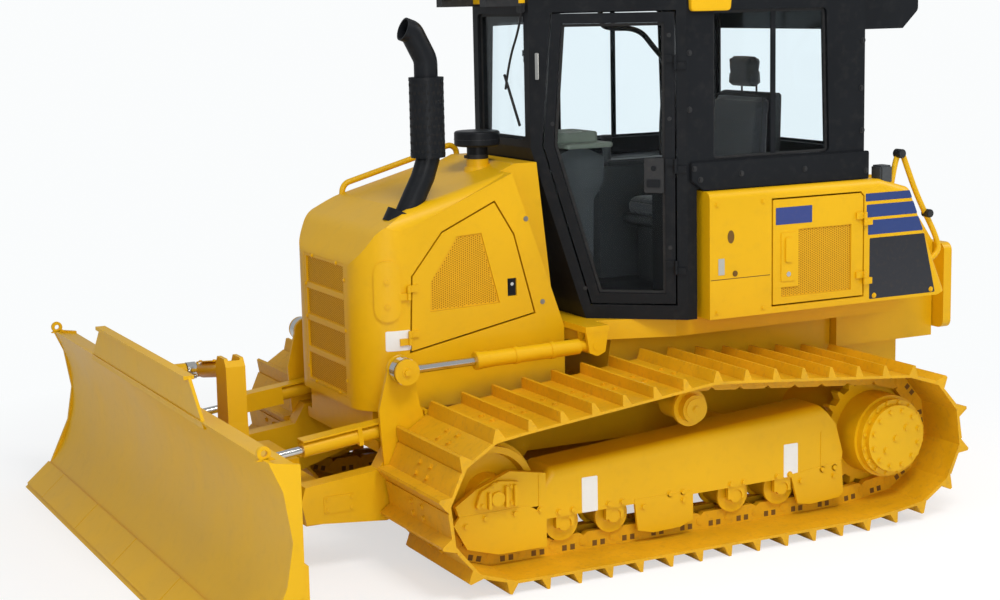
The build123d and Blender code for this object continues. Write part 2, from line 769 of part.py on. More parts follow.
def cab_roof():
    """Roof with a drip edge, a crowned cap and the air unit over the rear."""
    rim = offset(cab_plan(0), amount=25, kind=Kind.INTERSECTION)
    roof = top_plate(rim, cab_top, cab_top + 70)
    cap = top_plate(cab_plan(20), cab_top + 65, overall_height)
    cap = chamfer(cap.faces().sort_by(Axis.Z)[-1].edges(), 60)
    unit = polygon((-1462, 2245), (-1462, cab_top + 60), (-1790, cab_top + 20), (-1790, 2330), (-1700, 2245),
                   rounds=((2, 40), (3, 30)))
    air_unit = side_plate(unit, -640, 640)
    bridge = block(-1560, -1430, -600, 600, cab_top, cab_top + 60)
    return roof + cap + air_unit + bridge


def seat():
    """Driver's seat with backrest and headrest on its base."""
    cushion = polygon((-640, 1330), (-640, 1440), (-1120, 1420), (-1180, 1950), (-1290, 1960), (-1270, 1330),
                      rounds=((1, 50), (2, 60), (3, 40), (4, 40), (5, 40)))
    body = side_plate(cushion, -250, 250)
    head = polygon((-1185, 1940), (-1195, 2140), (-1265, 2140), (-1275, 1940), rounds=((1, 25), (2, 25)))
    body += side_plate(head, -130, 130)
    base = block(-1200, -720, -200, 200, cab_floor + cab_wall, 1335)
    return body + base


def consoles():
    """Dashboard pedestal and the two side consoles with their control levers."""
    dash = polygon((-120, cab_floor + cab_wall), (-260, cab_floor + cab_wall), (-275, 1480), (-330, 1560),
                   (-330, 1680), (-200, 1740), (-95, 1700))
    parts = side_plate(dash, -150, 150)
    sides = block(-1150, -560, 300, 420, cab_floor + cab_wall, 1580)
    lever = bar_z(-640, 360, 1575, 1700, 22)
    other = both_sides(sides + lever)
    return Compound(children=[solid for part in (parts, other) for solid in part.solids()])


def work_lamps():
    """Front lamps on brackets at the roof's corners and rear lamps on the air unit."""
    lamps = []
    for side in (1, -1):
        arm = block(cab_front[0], 330, 200, 260, cab_top - 110, cab_top - 60)
        lamp = block(270, 340, 175, 285, cab_top - 61, cab_top + 50)
        piece = arm + lamp
        lamps.append(piece if side > 0 else other_side(piece))
    return Compound(children=[solid for lamp in lamps for solid in lamp.solids()])


# Blade linkage


def c_frame():
    """Two side arms with their lift levers, a cross box and the nose that carries the blade yoke."""
    px, pz = lift_pivot
    arm = polygon((px, pz + 95), (760, 528), (985, 522), (1040, 430), (1380, 395), (1400, 330), (1380, 233),
                  (1010, 200), (700, 300), (px, pz - 95))
    side = side_plate(arm, arm_inner_y, arm_outer_y)
    side += bar_y(px, pz, arm_inner_y, arm_outer_y, 95)
    side -= bar_y(px, pz, arm_inner_y - 1, arm_outer_y + 1, trunnion_radius + pin_gap)
    ex, ez = lift_eye
    lever = polygon((770, 400), (790, 540), (845, 700), (ex - 60, ez), (ex + 60, ez), (1035, 690), (1015, 380))
    side += side_plate(lever, lever_inner_y, lever_outer_y)
    side += bar_y(ex, ez, lever_inner_y, lever_outer_y, 62)
    side += bar_y(ex, ez, lever_outer_y - 1, lift_y - 30, 45)
    side += bar_y(ex, ez, lift_y - 31, lift_y + 31, 25)
    side += bar_y(ex, ez, lift_y + 29, lift_y + 41, 57)
    bx, by, bz = angle_base
    for z0, z1 in ((bz - angle_ear_low - angle_ear_thickness, bz - angle_ear_low),
                   (bz + angle_ear_high, bz + angle_ear_high + angle_ear_thickness)):
        ear = top_plate(polygon((bx - 55, by - 32), (bx + 40, by - 32), (bx + 40, arm_outer_y - 20),
                                (bx - 55, arm_outer_y - 20)), z0, z1)
        ear -= bar_z(bx, by, z0 - 1, z1 + 1, angle_pin_radius + pin_gap)
        side += ear
    side += block(bx - 75, bx - 54, by - 32, arm_outer_y - 1, bz - 90, bz + angle_ear_high + angle_ear_thickness)
    frame = both_sides(side)
    frame += block(1270, 1380, -arm_outer_y + 5, arm_outer_y - 5, 225, 385)
    nose = polygon((1375, -200), (yaw_x + 20, -100), (yaw_x + 85, -40), (yaw_x + 85, 40), (yaw_x + 20, 100),
                   (1375, 200))
    for z0, z1 in ((205, 245), (395, 435)):
        plate = top_plate(nose, z0, z1)
        plate -= bar_z(yaw_x, 0, z0 - 1, z1 + 1, 45 + pin_gap)
        frame += plate
    frame += block(1270, 1385, -200, 200, 205, 435)
    return frame


def blade_yoke():
    """Upright that swivels in the nose and carries the tilt pivot below and the tilt cylinder above."""
    yoke = bar_z(yaw_x, 0, 206, 470, 45)
    yoke += bar_z(yaw_x, 0, 250, 390, 75)
    yoke += bar_x(0, tilt_z, yaw_x, 1645, 60)
    yoke += bar_x(0, tilt_z, 1640, 1765, 35)
    tower = polygon((-95, 440), (95, 440), (75, 600), (70, 850), (45, 885), (-45, 885), (-70, 850), (-75, 600))
    yoke += front_plate(tower, yaw_x - 42, yaw_x + 48)
    tx, _, tz = tower_top
    slot = block(tx - 27, tx + 27, -100, 52, tz - 75, tz + 60)
    yoke -= slot
    yoke += bar_x(0, tz, yaw_x - 42, yaw_x + 48, 18)
    return yoke


def moldboard_profile(back):
    """The blade's section: a curved plate that ends in a straight cutting edge."""
    top = (1911, moldboard_top)
    middle = (1827, 497)
    low = (1960, 118)
    tip = (front_x, 0)
    face = ThreePointArc(top, middle, low)
    face += Line(low, tip)
    rear_tip = (front_x - 26, 0)
    rear_low = (low[0] - 18, low[1] + 2)
    rear_middle = (middle[0] - back, middle[1])
    rear_top = (top[0] - back, moldboard_top)
    rear = Line(tip, rear_tip) + Line(rear_tip, rear_low) + ThreePointArc(rear_low, rear_middle, rear_top)
    return make_face(face + rear + Line(rear_top, top))


def blade():
    """Moldboard with end plates, back boxes, centre guard and the brackets for the linkage."""
    width = blade_half_width
    body = side_plate(moldboard_profile(16), -width, width)
    end = polygon((1911, moldboard_top), (blade_back_x, 785), (blade_back_x, 300), (1860, 235), (1960, 118),
                  (1860, 330), (1830, 497), (1860, 690))
    end_plate = side_plate(end, width - 20, width)
    upper = side_plate(polygon((1880, 788), (blade_back_x, 775), (blade_back_x, 670), (1835, 640)),
                       -width + 10, width - 10)
    lower = side_plate(polygon((1815, 420), (blade_back_x - 20, 400), (blade_back_x - 20, 250),
                               (1850, 215), (1880, 240)), -width + 10, width - 10)
    body = body.fuse(both_sides(end_plate), upper, lower)
    guard = polygon((-860, moldboard_top - 30), (860, moldboard_top - 30), (680, guard_top - 10),
                    (-680, guard_top - 10))
    body += front_plate(guard, 1892, 1906)
    body += block(1880, 1925, -680, 680, guard_top - 16, guard_top)
    socket = block(1670, 1830, -90, 90, 215, 425)
    socket -= bar_x(0, tilt_z, 1669, 1831, 35 + pin_gap)
    body += socket
    ex, ey, ez = angle_eye
    for z0, z1 in ((ez - 82, ez - 66), (ez + 66, ez + 82)):
        ear = top_plate(polygon((ex - 40, ey - 70), (ear_end, ey - 95), (ear_end, ey + 95), (ex - 40, ey + 70),
                                rounds=((0, 35), (3, 35))), z0, z1)
        pin_head = bar_z(ex, ey, z0 - 12 if z0 < ez else z1, z0 if z0 < ez else z1 + 12, 30)
        body += both_sides(ear + pin_head)
    tx, ty, tz = tilt_eye
    body += bar_x(ty, tz, tx + 27, 1830, 38)
    body += bar_x(ty, tz, tx - 30, tx + 28, 20)
    body += bar_x(ty, tz, tx - 38, tx - 28, 34)
    return body


def lift_cylinder():
    """Barrel with its rear eye, and rod with its front eye, in a side view from pin to pin."""
    start = (lift_rear_pin[0], lift_y, lift_rear_pin[1])
    end = (lift_eye[0], lift_y, lift_eye[1])
    plane = along(start, end)
    reach = math.dist(start, end)
    barrel = rod_between(plane, 75, lift_barrel_end, lift_barrel_radius)
    barrel += rod_between(plane, 20, 80, 24)
    barrel += rod_between(plane, lift_barrel_end - 60, lift_barrel_end, lift_barrel_radius + 2)
    barrel += bar_y(start[0], start[2], lift_y - 24, lift_y + 24, 42)
    barrel -= bar_y(start[0], start[2], lift_y - 30, lift_y + 30, 22 + pin_gap)
    barrel -= rod_between(plane, 85, lift_barrel_end + 5, lift_rod_radius + rod_gap)
    rod = rod_between(plane, 310, reach - 45, lift_rod_radius)
    rod += bar_y(end[0], end[2], lift_y - 24, lift_y + 24, 58)
    rod -= bar_y(end[0], end[2], lift_y - 30, lift_y + 30, 42)
    return barrel, rod


def angle_cylinder():
    """Cross swivel, barrel with its bolted guard, and rod with its eye, for the left side."""
    bx, by, bz = angle_base
    guard_start = 92
    swivel = bar_z(bx, by, bz - angle_ear_low - angle_ear_thickness, bz + angle_ear_high + angle_ear_thickness,
                   angle_pin_radius)
    swivel += bar_z(bx, by, bz - 36, bz + 36, 26)
    swivel += bar_y(bx, bz, by - 31, by + 31, 12)
    plane = along(angle_base, angle_eye)
    reach = math.dist(angle_base, angle_eye)
    barrel = rod_between(plane, 40, angle_barrel_end, angle_barrel_radius)
    fork = plane * Pos(0, 0, 25) * Box(44, 62, 76)
    fork -= plane * Pos(0, 0, 8) * Box(90, 44, 64)
    fork -= bar_z(bx, by, bz - 90, bz + 90, 27)
    fork -= bar_y(bx, bz, by - 40, by + 40, 12 + pin_gap)
    barrel += fork
    side_start, guard_end = 230, angle_barrel_end
    cover = plane * Pos(41, 0, (guard_start + guard_end) / 2) * Box(8, 68, guard_end - guard_start)
    cover += plane * Pos(2, 37, (side_start + guard_end) / 2) * Box(86, 6, guard_end - side_start)
    web = plane * Pos(4, 3, side_start + 10) * Box(82, 74, 20)
    web += plane * Pos(22, 0, guard_start + 8) * Box(46, 40, 16)
    barrel += cover + web
    barrel -= rod_between(plane, 62, guard_end + 5, angle_rod_radius + rod_gap)
    rod = rod_between(plane, 280, reach - 28, angle_rod_radius)
    eye = bar_z(angle_eye[0], angle_eye[1], angle_eye[2] - 18, angle_eye[2] + 18, 38)
    return swivel, barrel, rod + eye


def tilt_cylinder():
    """Barrel on the tower and rod on the blade's right bracket."""
    plane = along(tower_top, tilt_eye)
    reach = math.dist(tower_top, tilt_eye)
    x, _, z = tower_top
    barrel = rod_between(plane, 92, tilt_barrel_end, tilt_barrel_radius)
    barrel += bar_x(0, z, x - 22, x + 22, 36)
    barrel += plane * Pos(0, 0, 64) * Box(50, 40, 64)
    barrel -= bar_x(0, z, x - 30, x + 30, 18 + pin_gap)
    barrel -= rod_between(plane, 110, tilt_barrel_end + 5, tilt_rod_radius + rod_gap)
    rod = rod_between(plane, 200, reach - 30, tilt_rod_radius)
    rod += bar_x(tilt_eye[1], tilt_eye[2], x - 22, x + 22, 40)
    rod -= bar_x(tilt_eye[1], tilt_eye[2], x - 30, x + 30, 25)
    return barrel, rod


def build_parts():
    parts = {}

    def pair(name, left):
        parts[name + "_left"] = left
        parts[name + "_right"] = other_side(left)

    pair("track", track())
    pair("sprocket", sprocket())
    pair("idler", idler())
    pair("rollers", rollers())
    pair("track_frame", track_frame())
    parts["main_frame"] = main_frame()
    pair("trunnion", trunnion())
    parts["deck"] = deck()
    parts["engine_block"] = engine_block()
    parts["hood"] = hood()
    parts["front_mask"] = front_mask()
    pair("engine_door", engine_door())
    parts["exhaust_stack"] = exhaust_stack()
    parts["precleaner"] = precleaner()
    parts["handrail"] = handrail()
    pair("side_body", side_body())
    pair("rear_door", rear_door())
    parts["rear_housing"] = rear_housing()
    parts["rear_grille"] = rear_grille()
    parts["cab_frame"] = cab_frame()
    parts["cab_roof"] = cab_roof()
    parts["cab_glass"] = cab_glass()
    pair("cab_door", cab_door())
    pair("door_glass", door_glass())
    parts["seat"] = seat()
    parts["consoles"] = consoles()
    parts["work_lamps"] = work_lamps()
    parts["c_frame"] = c_frame()
    parts["blade_yoke"] = blade_yoke()
    parts["blade"] = blade()
    barrel, rod = lift_cylinder()
    pair("lift_barrel", barrel)
    pair("lift_rod", rod)
    swivel, barrel, rod = angle_cylinder()
    pair("angle_swivel", swivel)
    pair("angle_barrel", barrel)
    pair("angle_rod", rod)
    barrel, rod = tilt_cylinder()
    parts["tilt_barrel"] = barrel
    parts["tilt_rod"] = rod
    return parts


os.makedirs("parts", exist_ok=True)
for name, shape in build_parts().items():
    export_step(shape, f"parts/{name}.step")
print("chain pitch", round(pitch, 2), "sprocket pin radius", round(sprocket_radius, 1))
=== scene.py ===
# %% [markdown]
# # A crawler bulldozer, dressed from its own solids
#
# The solids come from the CAD model and stay where they are. This lesson adds the camera, the light,
# the finishes, and the small things that a solid model leaves out: bolts, perforated panels, seals,
# lamps, latches, stripes and the padded seat. Lengths are in metres, +X is forward, +Y is the
# machine's left and +Z is up.

# %% Load the solids
import bpy, bmesh, math
from mathutils import Vector, Matrix


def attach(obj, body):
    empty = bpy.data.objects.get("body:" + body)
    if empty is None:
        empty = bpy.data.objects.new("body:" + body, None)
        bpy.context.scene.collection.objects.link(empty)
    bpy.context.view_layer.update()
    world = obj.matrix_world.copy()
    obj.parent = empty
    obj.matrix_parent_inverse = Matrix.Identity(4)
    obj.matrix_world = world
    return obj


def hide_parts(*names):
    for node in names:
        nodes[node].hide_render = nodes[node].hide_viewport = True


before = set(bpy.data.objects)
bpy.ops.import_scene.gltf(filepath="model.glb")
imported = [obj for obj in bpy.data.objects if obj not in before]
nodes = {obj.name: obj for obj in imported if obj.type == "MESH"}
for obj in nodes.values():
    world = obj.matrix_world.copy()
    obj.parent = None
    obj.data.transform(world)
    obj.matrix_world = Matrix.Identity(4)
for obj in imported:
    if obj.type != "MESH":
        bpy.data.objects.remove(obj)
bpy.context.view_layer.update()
scene = bpy.context.scene

# %% [markdown]
# ## The camera
# The machine was photographed from the front left with a long lens. Two angles, a small roll and the
# place of the lens were worked out from points that lie on both sides of the machine, such as the two
# angle cylinders, so the picture can be laid over the photograph.

# %% Place the camera
camera_place = Vector((4.0615, 7.8013, 2.4368))
camera_yaw, camera_pitch, camera_roll = -2.0346, 0.1616, -0.0215
focal_pixels, picture_width = 1864.75, 1000

forward = Vector((math.cos(camera_yaw) * math.cos(camera_pitch),
                  math.sin(camera_yaw) * math.cos(camera_pitch), -math.sin(camera_pitch)))
level_right = Vector((math.sin(camera_yaw), -math.cos(camera_yaw), 0))
level_up = level_right.cross(forward)
right = level_right * math.cos(camera_roll) + level_up * math.sin(camera_roll)
up = -level_right * math.sin(camera_roll) + level_up * math.cos(camera_roll)

lens = bpy.data.cameras.new("photo_lens")
lens.sensor_width = 36
lens.lens = focal_pixels * lens.sensor_width / picture_width
lens.clip_end = 200
camera = bpy.data.objects.new("photo_camera", lens)
scene.collection.objects.link(camera)
camera.matrix_world = Matrix((
    (right.x, up.x, -forward.x, camera_place.x),
    (right.y, up.y, -forward.y, camera_place.y),
    (right.z, up.z, -forward.z, camera_place.z),
    (0, 0, 0, 1)))
scene.camera = camera
scene.view_settings.view_transform = "Standard"
print("lens", round(lens.lens, 2), "mm")

# %% [markdown]
# ## Light and floor
# The machine stands in a bright studio. The key lamp hangs high over its left side, a low lamp beside the
# camera fills that side, and weaker ones in front and behind open the shadows. The camera's rays and those
# that pass a window see a white surround; all others find a dimmer, slightly blue sky. The floor shows a
# soft shadow nearby and fades to white farther out.

# %% Build the studio
def node_tree(owner):
    owner.use_nodes = True
    owner.node_tree.nodes.clear()
    return owner.node_tree


def add_node(tree, kind, values=None, **settings):
    """A node with its settings and the values of its inputs."""
    node = tree.nodes.new(kind)
    for key, value in settings.items():
        setattr(node, key, value)
    for key, value in (values or {}).items():
        node.inputs[key].default_value = value
    return node


def wire(tree, *rows):
    """One link for each row: a node, its output, the next node and its input."""
    for source, output, target, entry in rows:
        tree.links.new(source.outputs[output], target.inputs[entry])


def seen_ray(tree):
    """1 for the camera's own rays and those that pass glass, 0 for all others."""
    path = add_node(tree, "ShaderNodeLightPath")
    seen = add_node(tree, "ShaderNodeMath", operation="MAXIMUM")
    wire(tree, (path, "Is Camera Ray", seen, 0), (path, "Is Transmission Ray", seen, 1))
    return seen


surround_white = (0.96, 0.975, 0.98, 1)
world = bpy.data.worlds.new("studio_surround")
scene.world = world
tree = node_tree(world)
fill_sky = add_node(tree, "ShaderNodeBackground", {"Color": (0.93, 0.96, 1.0, 1), "Strength": 0.48})
white_sky = add_node(tree, "ShaderNodeBackground", {"Color": surround_white, "Strength": 1.0})
choose = add_node(tree, "ShaderNodeMixShader")
sky_out = add_node(tree, "ShaderNodeOutputWorld")
wire(tree, (seen_ray(tree), 0, choose, "Fac"), (fill_sky, 0, choose, 1), (white_sky, 0, choose, 2),
     (choose, 0, sky_out, "Surface"))

for name, place, target, size, power in (
        ("key_lamp", (1.0, 6.5, 9.0), (0, 0.5, 0.8), 3.5, 470),
        ("front_lamp", (8.0, 3.0, 4.5), (0.5, 0, 0.8), 4.0, 60),
        ("side_lamp", (3.5, 10.0, 2.6), (-0.3, 0.8, 0.5), 4.0, 190),
        ("rear_lamp", (-7.0, 3.0, 6.0), (-0.5, 0, 1.0), 4.0, 200)):
    data = bpy.data.lights.new(name, "AREA")
    data.shape, data.size, data.energy = "DISK", size, power
    lamp = bpy.data.objects.new(name, data)
    lamp.location = place
    lamp.rotation_euler = (Vector(target) - Vector(place)).to_track_quat("-Z", "Y").to_euler()
    scene.collection.objects.link(lamp)

floor_half, shadow_from, shadow_to = 60, 2.4, 4.2
floor_mesh = bpy.data.meshes.new("floor")
floor_mesh.from_pydata([(floor_half * x, floor_half * y, 0) for x, y in ((-1, -1), (1, -1), (1, 1), (-1, 1))],
                       [], [(0, 1, 2, 3)])
floor = bpy.data.objects.new("floor", floor_mesh)
scene.collection.objects.link(floor)
floor.location.z = -0.0005
floor_material = bpy.data.materials.new("pale_floor")
tree = node_tree(floor_material)
floor_out = add_node(tree, "ShaderNodeOutputMaterial")
floor_shader = add_node(tree, "ShaderNodeBsdfPrincipled",
                        {"Base Color": (0.85, 0.86, 0.86, 1), "Roughness": 0.9, "Specular IOR Level": 0.0})
# The camera sees a floor that is mostly white by itself, so that only a soft part of the shadow stays.
seen_floor = add_node(tree, "ShaderNodeBsdfDiffuse", {"Color": (0.42, 0.42, 0.42, 1)})
own_white = add_node(tree, "ShaderNodeEmission", {"Strength": 0.60})
near_floor = add_node(tree, "ShaderNodeAddShader")
far_white = add_node(tree, "ShaderNodeEmission", {"Color": surround_white})
floor_place = add_node(tree, "ShaderNodeTexCoord")
from_middle = add_node(tree, "ShaderNodeVectorMath", operation="LENGTH")
fade = add_node(tree, "ShaderNodeMapRange", {"From Min": shadow_from, "From Max": shadow_to})
by_distance = add_node(tree, "ShaderNodeMixShader")
by_ray = add_node(tree, "ShaderNodeMixShader")
wire(tree, (seen_floor, 0, near_floor, 0), (own_white, 0, near_floor, 1),
     (floor_place, "Object", from_middle, 0), (from_middle, "Value", fade, "Value"),
     (fade, 0, by_distance, "Fac"), (near_floor, 0, by_distance, 1), (far_white, 0, by_distance, 2),
     (seen_ray(tree), 0, by_ray, "Fac"), (floor_shader, 0, by_ray, 1), (by_distance, 0, by_ray, 2),
     (by_ray, 0, floor_out, "Surface"))
floor_mesh.materials.append(floor_material)
print("lamps:", len(bpy.data.lights))

# %% [markdown]
# ## Shared surface effects
# Paint, steel and plastic have different colours but the same small faults. Two node groups carry
# them: one gives a slow change of tone with a little dust, the other gives fine bumps such as the
# orange peel of sprayed paint or the grain of moulded plastic. Each material sets its own amounts.

# %% Build the shared node groups
def new_group(name, kind, inputs, outputs):
    """An empty node group with its sockets, its input node and its output node."""
    group = bpy.data.node_groups.new(name, kind)
    for in_out, sockets in (("INPUT", inputs), ("OUTPUT", outputs)):
        for label, what, *value in sockets:
            socket = group.interface.new_socket(label, in_out=in_out, socket_type="NodeSocket" + what)
            if value:
                socket.default_value = value[0]
    return group, group.nodes.new("NodeGroupInput"), group.nodes.new("NodeGroupOutput")


tone_group, g_in, g_out = new_group(
    "tone_and_dust", "ShaderNodeTree",
    [("Base", "Color", (0.5, 0.5, 0.5, 1)), ("Dust", "Color", (0.4, 0.33, 0.2, 1)), ("Variation", "Float", 0.06),
     ("Dust Amount", "Float", 0.1), ("Scale", "Float", 3.0), ("Roughness", "Float", 0.4),
     ("Roughness Spread", "Float", 0.08)],
    [("Color", "Color"), ("Roughness", "Float")])
coords = add_node(tone_group, "ShaderNodeTexCoord")
broad = add_node(tone_group, "ShaderNodeTexNoise", {"Detail": 3})
fine = add_node(tone_group, "ShaderNodeTexNoise", {"Detail": 6})
fine_scale = add_node(tone_group, "ShaderNodeMath", {1: 9}, operation="MULTIPLY")
swing = add_node(tone_group, "ShaderNodeMapRange", {"From Min": 0.3, "From Max": 0.7, "To Min": -1, "To Max": 1})
amount = add_node(tone_group, "ShaderNodeMath", {2: 1}, operation="MULTIPLY_ADD")
shade = add_node(tone_group, "ShaderNodeVectorMath", operation="SCALE")
dust_mask = add_node(tone_group, "ShaderNodeMapRange", {"From Min": 0.52, "From Max": 0.78})
dust_level = add_node(tone_group, "ShaderNodeMath", operation="MULTIPLY")
dusty = add_node(tone_group, "ShaderNodeMix", data_type="RGBA")
rough = add_node(tone_group, "ShaderNodeMath", operation="MULTIPLY_ADD")
wire(tone_group, (coords, "Object", broad, "Vector"), (coords, "Object", fine, "Vector"),
     (g_in, "Scale", broad, "Scale"), (g_in, "Scale", fine_scale, 0), (fine_scale, 0, fine, "Scale"),
     (broad, "Fac", swing, "Value"), (swing, 0, amount, 0), (g_in, "Variation", amount, 1),
     (g_in, "Base", shade, 0), (amount, 0, shade, "Scale"), (fine, "Fac", dust_mask, "Value"),
     (dust_mask, 0, dust_level, 0), (g_in, "Dust Amount", dust_level, 1), (dust_level, 0, dusty, "Factor"),
     (shade, 0, dusty, 6), (g_in, "Dust", dusty, 7), (dusty, 2, g_out, "Color"),
     (swing, 0, rough, 0), (g_in, "Roughness Spread", rough, 1), (g_in, "Roughness", rough, 2),
     (rough, 0, g_out, "Roughness"))

bump_group, b_in, b_out = new_group(
    "fine_relief", "ShaderNodeTree",
    [("Scale", "Float", 400.0), ("Broad Scale", "Float", 12.0), ("Broad Amount", "Float", 0.3)],
    [("Height", "Float")])
b_coords = add_node(bump_group, "ShaderNodeTexCoord")
b_fine = add_node(bump_group, "ShaderNodeTexNoise", {"Detail": 2})
b_broad = add_node(bump_group, "ShaderNodeTexNoise", {"Detail": 4})
b_sum = add_node(bump_group, "ShaderNodeMath", operation="MULTIPLY_ADD")
wire(bump_group, (b_coords, "Object", b_fine, "Vector"), (b_coords, "Object", b_broad, "Vector"),
     (b_in, "Scale", b_fine, "Scale"), (b_in, "Broad Scale", b_broad, "Scale"), (b_broad, "Fac", b_sum, 0),
     (b_in, "Broad Amount", b_sum, 1), (b_fine, "Fac", b_sum, 2), (b_sum, 0, b_out, "Height"))
print("node groups:", [g.name for g in bpy.data.node_groups])

# %% [markdown]
# ## Finishes
# The machine is sprayed one warm yellow from blade to tracks, with a clear gloss over it. The cab, the
# exhaust and the rear lamps are black. Rods are chromed, windows are faintly tinted, and the seat is a
# woven cloth. A small table sets each finish, so that they can be compared line by line.

# %% Make the materials
def srgb(red, green, blue):
    def lin(c):
        c /= 255
        return c / 12.92 if c <= 0.04045 else ((c + 0.055) / 1.055) ** 2.4
    return (lin(red), lin(green), lin(blue), 1)


def new_surface(name, shader_values, strength, distance, tone_values=None):
    """A material with one shader, an empty bump and, where values are given, a change of tone."""
    material = bpy.data.materials.new(name)
    tree = node_tree(material)
    out = add_node(tree, "ShaderNodeOutputMaterial")
    shader = add_node(tree, "ShaderNodeBsdfPrincipled", shader_values)
    bump = add_node(tree, "ShaderNodeBump", {"Strength": strength, "Distance": distance})
    wire(tree, (bump, 0, shader, "Normal"), (shader, 0, out, "Surface"))
    if tone_values:
        tone = add_node(tree, "ShaderNodeGroup", tone_values, node_tree=tone_group)
        wire(tree, (tone, "Color", shader, "Base Color"), (tone, "Roughness", shader, "Roughness"))
    return material, tree, bump


def add_relief(tree, bump, values):
    relief = add_node(tree, "ShaderNodeGroup", values, node_tree=bump_group)
    wire(tree, (relief, "Height", bump, "Height"))


def finish(name, colour, dust, variation, dust_amount, scale, roughness, spread, grain, broad, relief,
           metallic=0.0, coat=0.0, specular=0.5):
    material, tree, bump = new_surface(
        name, {"Metallic": metallic, "Coat Weight": coat, "Coat Roughness": 0.12, "Specular IOR Level": specular},
        relief, 0.001, {"Base": colour, "Dust": dust, "Variation": variation, "Dust Amount": dust_amount,
                        "Scale": scale, "Roughness": roughness, "Roughness Spread": spread})
    add_relief(tree, bump, {"Scale": grain, "Broad Amount": broad})
    return material


dust = srgb(150, 112, 50)
grey_dust = srgb(110, 104, 96)
finishes = {
    # name: colour, dust, variation, dust amount, scale, roughness, spread, grain, broad, relief, metal, coat,
    # and for some the specular level
    "yellow_paint": (srgb(226, 174, 12), dust, 0.05, 0.08, 2.2, 0.40, 0.06, 420, 0.4, 0.10, 0.0, 0.06, 0.22),
    "track_paint": (srgb(219, 163, 14), dust, 0.09, 0.30, 5.0, 0.52, 0.10, 260, 0.8, 0.35, 0.0, 0.05, 0.3),
    "mesh_paint": (srgb(222, 166, 24), dust, 0.04, 0.12, 4.0, 0.60, 0.06, 500, 0.2, 0.15, 0.0, 0.0, 0.2),
    # painted shade: a darkened yellow that stands for the shade inside link windows, a keyhole, a seam gap and the
    # lock
    "hole_dark": (srgb(112, 78, 18), grey_dust, 0.05, 0.05, 6.0, 0.85, 0.05, 300, 0.2, 0.05, 0.0, 0.0),
    "black_paint": (srgb(24, 26, 29), grey_dust, 0.10, 0.05, 2.5, 0.42, 0.08, 380, 0.4, 0.12, 0.0, 0.0, 0.14),
    "black_plastic": (srgb(24, 25, 27), grey_dust, 0.08, 0.10, 4.0, 0.55, 0.06, 700, 0.1, 0.25, 0.0, 0.0),
    "grey_plastic": (srgb(62, 65, 67), grey_dust, 0.06, 0.10, 4.0, 0.55, 0.06, 700, 0.1, 0.25, 0.0, 0.0),
    "rubber": (srgb(24, 24, 25), grey_dust, 0.08, 0.15, 6.0, 0.72, 0.06, 300, 0.3, 0.20, 0.0, 0.0),
    "cast_block": (srgb(84, 82, 78), grey_dust, 0.08, 0.20, 5.0, 0.70, 0.08, 200, 0.8, 0.40, 0.0, 0.0),
    "chrome_rod": (srgb(214, 212, 206), grey_dust, 0.02, 0.02, 3.0, 0.14, 0.03, 600, 0.1, 0.02, 1.0, 0.0),
    "navy_stripe": (srgb(34, 58, 118), grey_dust, 0.03, 0.04, 3.0, 0.34, 0.04, 420, 0.3, 0.08, 0.0, 0.2),
    "white_plate": (srgb(232, 232, 228), dust, 0.02, 0.06, 5.0, 0.42, 0.04, 500, 0.2, 0.05, 0.0, 0.1),
    "decal_black": (srgb(24, 26, 34), dust, 0.02, 0.05, 5.0, 0.36, 0.04, 500, 0.2, 0.05, 0.0, 0.2),
    "blue_plate": (srgb(46, 62, 126), dust, 0.02, 0.06, 5.0, 0.42, 0.04, 500, 0.2, 0.05, 0.0, 0.1),
    "tray_plastic": (srgb(112, 118, 106), grey_dust, 0.05, 0.10, 4.0, 0.55, 0.06, 700, 0.1, 0.25, 0.0, 0.0),
    "bolt_steel": (srgb(150, 146, 138), grey_dust, 0.05, 0.10, 6.0, 0.38, 0.06, 400, 0.2, 0.10, 0.8, 0.0),
    "grey_plate": (srgb(176, 176, 168), dust, 0.02, 0.06, 5.0, 0.42, 0.04, 500, 0.2, 0.05, 0.0, 0.0),
    # painted shade: the flat discs that stand for the punched holes of the yellow sheet
    "painted_mesh_hole_shade": (srgb(166, 116, 22), dust, 0.05, 0.05, 6.0, 0.85, 0.05, 300, 0.2, 0.05, 0.0, 0.0, 0.1),
    # painted shade: near-black discs that stand for the dark inside of the exhaust guard's holes
    "painted_guard_hole_shade": (srgb(10, 10, 11), grey_dust, 0.05, 0.02, 6.0, 0.9, 0.03, 300, 0.2, 0.05, 0.0, 0.0),
    "seat_shell": (srgb(30, 31, 33), grey_dust, 0.06, 0.10, 4.0, 0.6, 0.06, 600, 0.1, 0.2, 0.0, 0.0),
}
paint = {name: finish(name, *values) for name, values in finishes.items()}


def window_glass(name, tint):
    material, tree, bump = new_surface(
        name, {"Base Color": tint, "Roughness": 0.02, "Transmission Weight": 1.0, "IOR": 1.12}, 0.02, 0.001)
    add_relief(tree, bump, {"Scale": 5, "Broad Scale": 2})
    return material


paint["window_glass"] = window_glass("window_glass", (0.905, 0.965, 0.99, 1))
paint["lamp_lens"] = window_glass("lamp_lens", (0.95, 0.95, 0.93, 1))


def cloth(name, colour, thread):
    """Plain weave: two sets of threads that pass over and under each other."""
    material, tree, bump = new_surface(name, {"Sheen Weight": 0.3}, 0.5, 0.0008, {
        "Base": colour, "Dust": grey_dust, "Variation": 0.12, "Roughness": 0.85, "Scale": 6})
    place = add_node(tree, "ShaderNodeTexCoord")
    weave = add_node(tree, "ShaderNodeMath", operation="MULTIPLY")
    for number, direction in enumerate("XY"):
        wave = add_node(tree, "ShaderNodeTexWave", {"Scale": 1 / thread / 20, "Distortion": 0.6, "Detail": 1},
                        bands_direction=direction)
        wire(tree, (place, "Object", wave, "Vector"), (wave, "Fac", weave, number))
    wire(tree, (weave, 0, bump, "Height"))
    return material


paint["seat_cloth"] = cloth("seat_cloth", srgb(58, 60, 64), 0.0012)
print("materials:", len(paint))

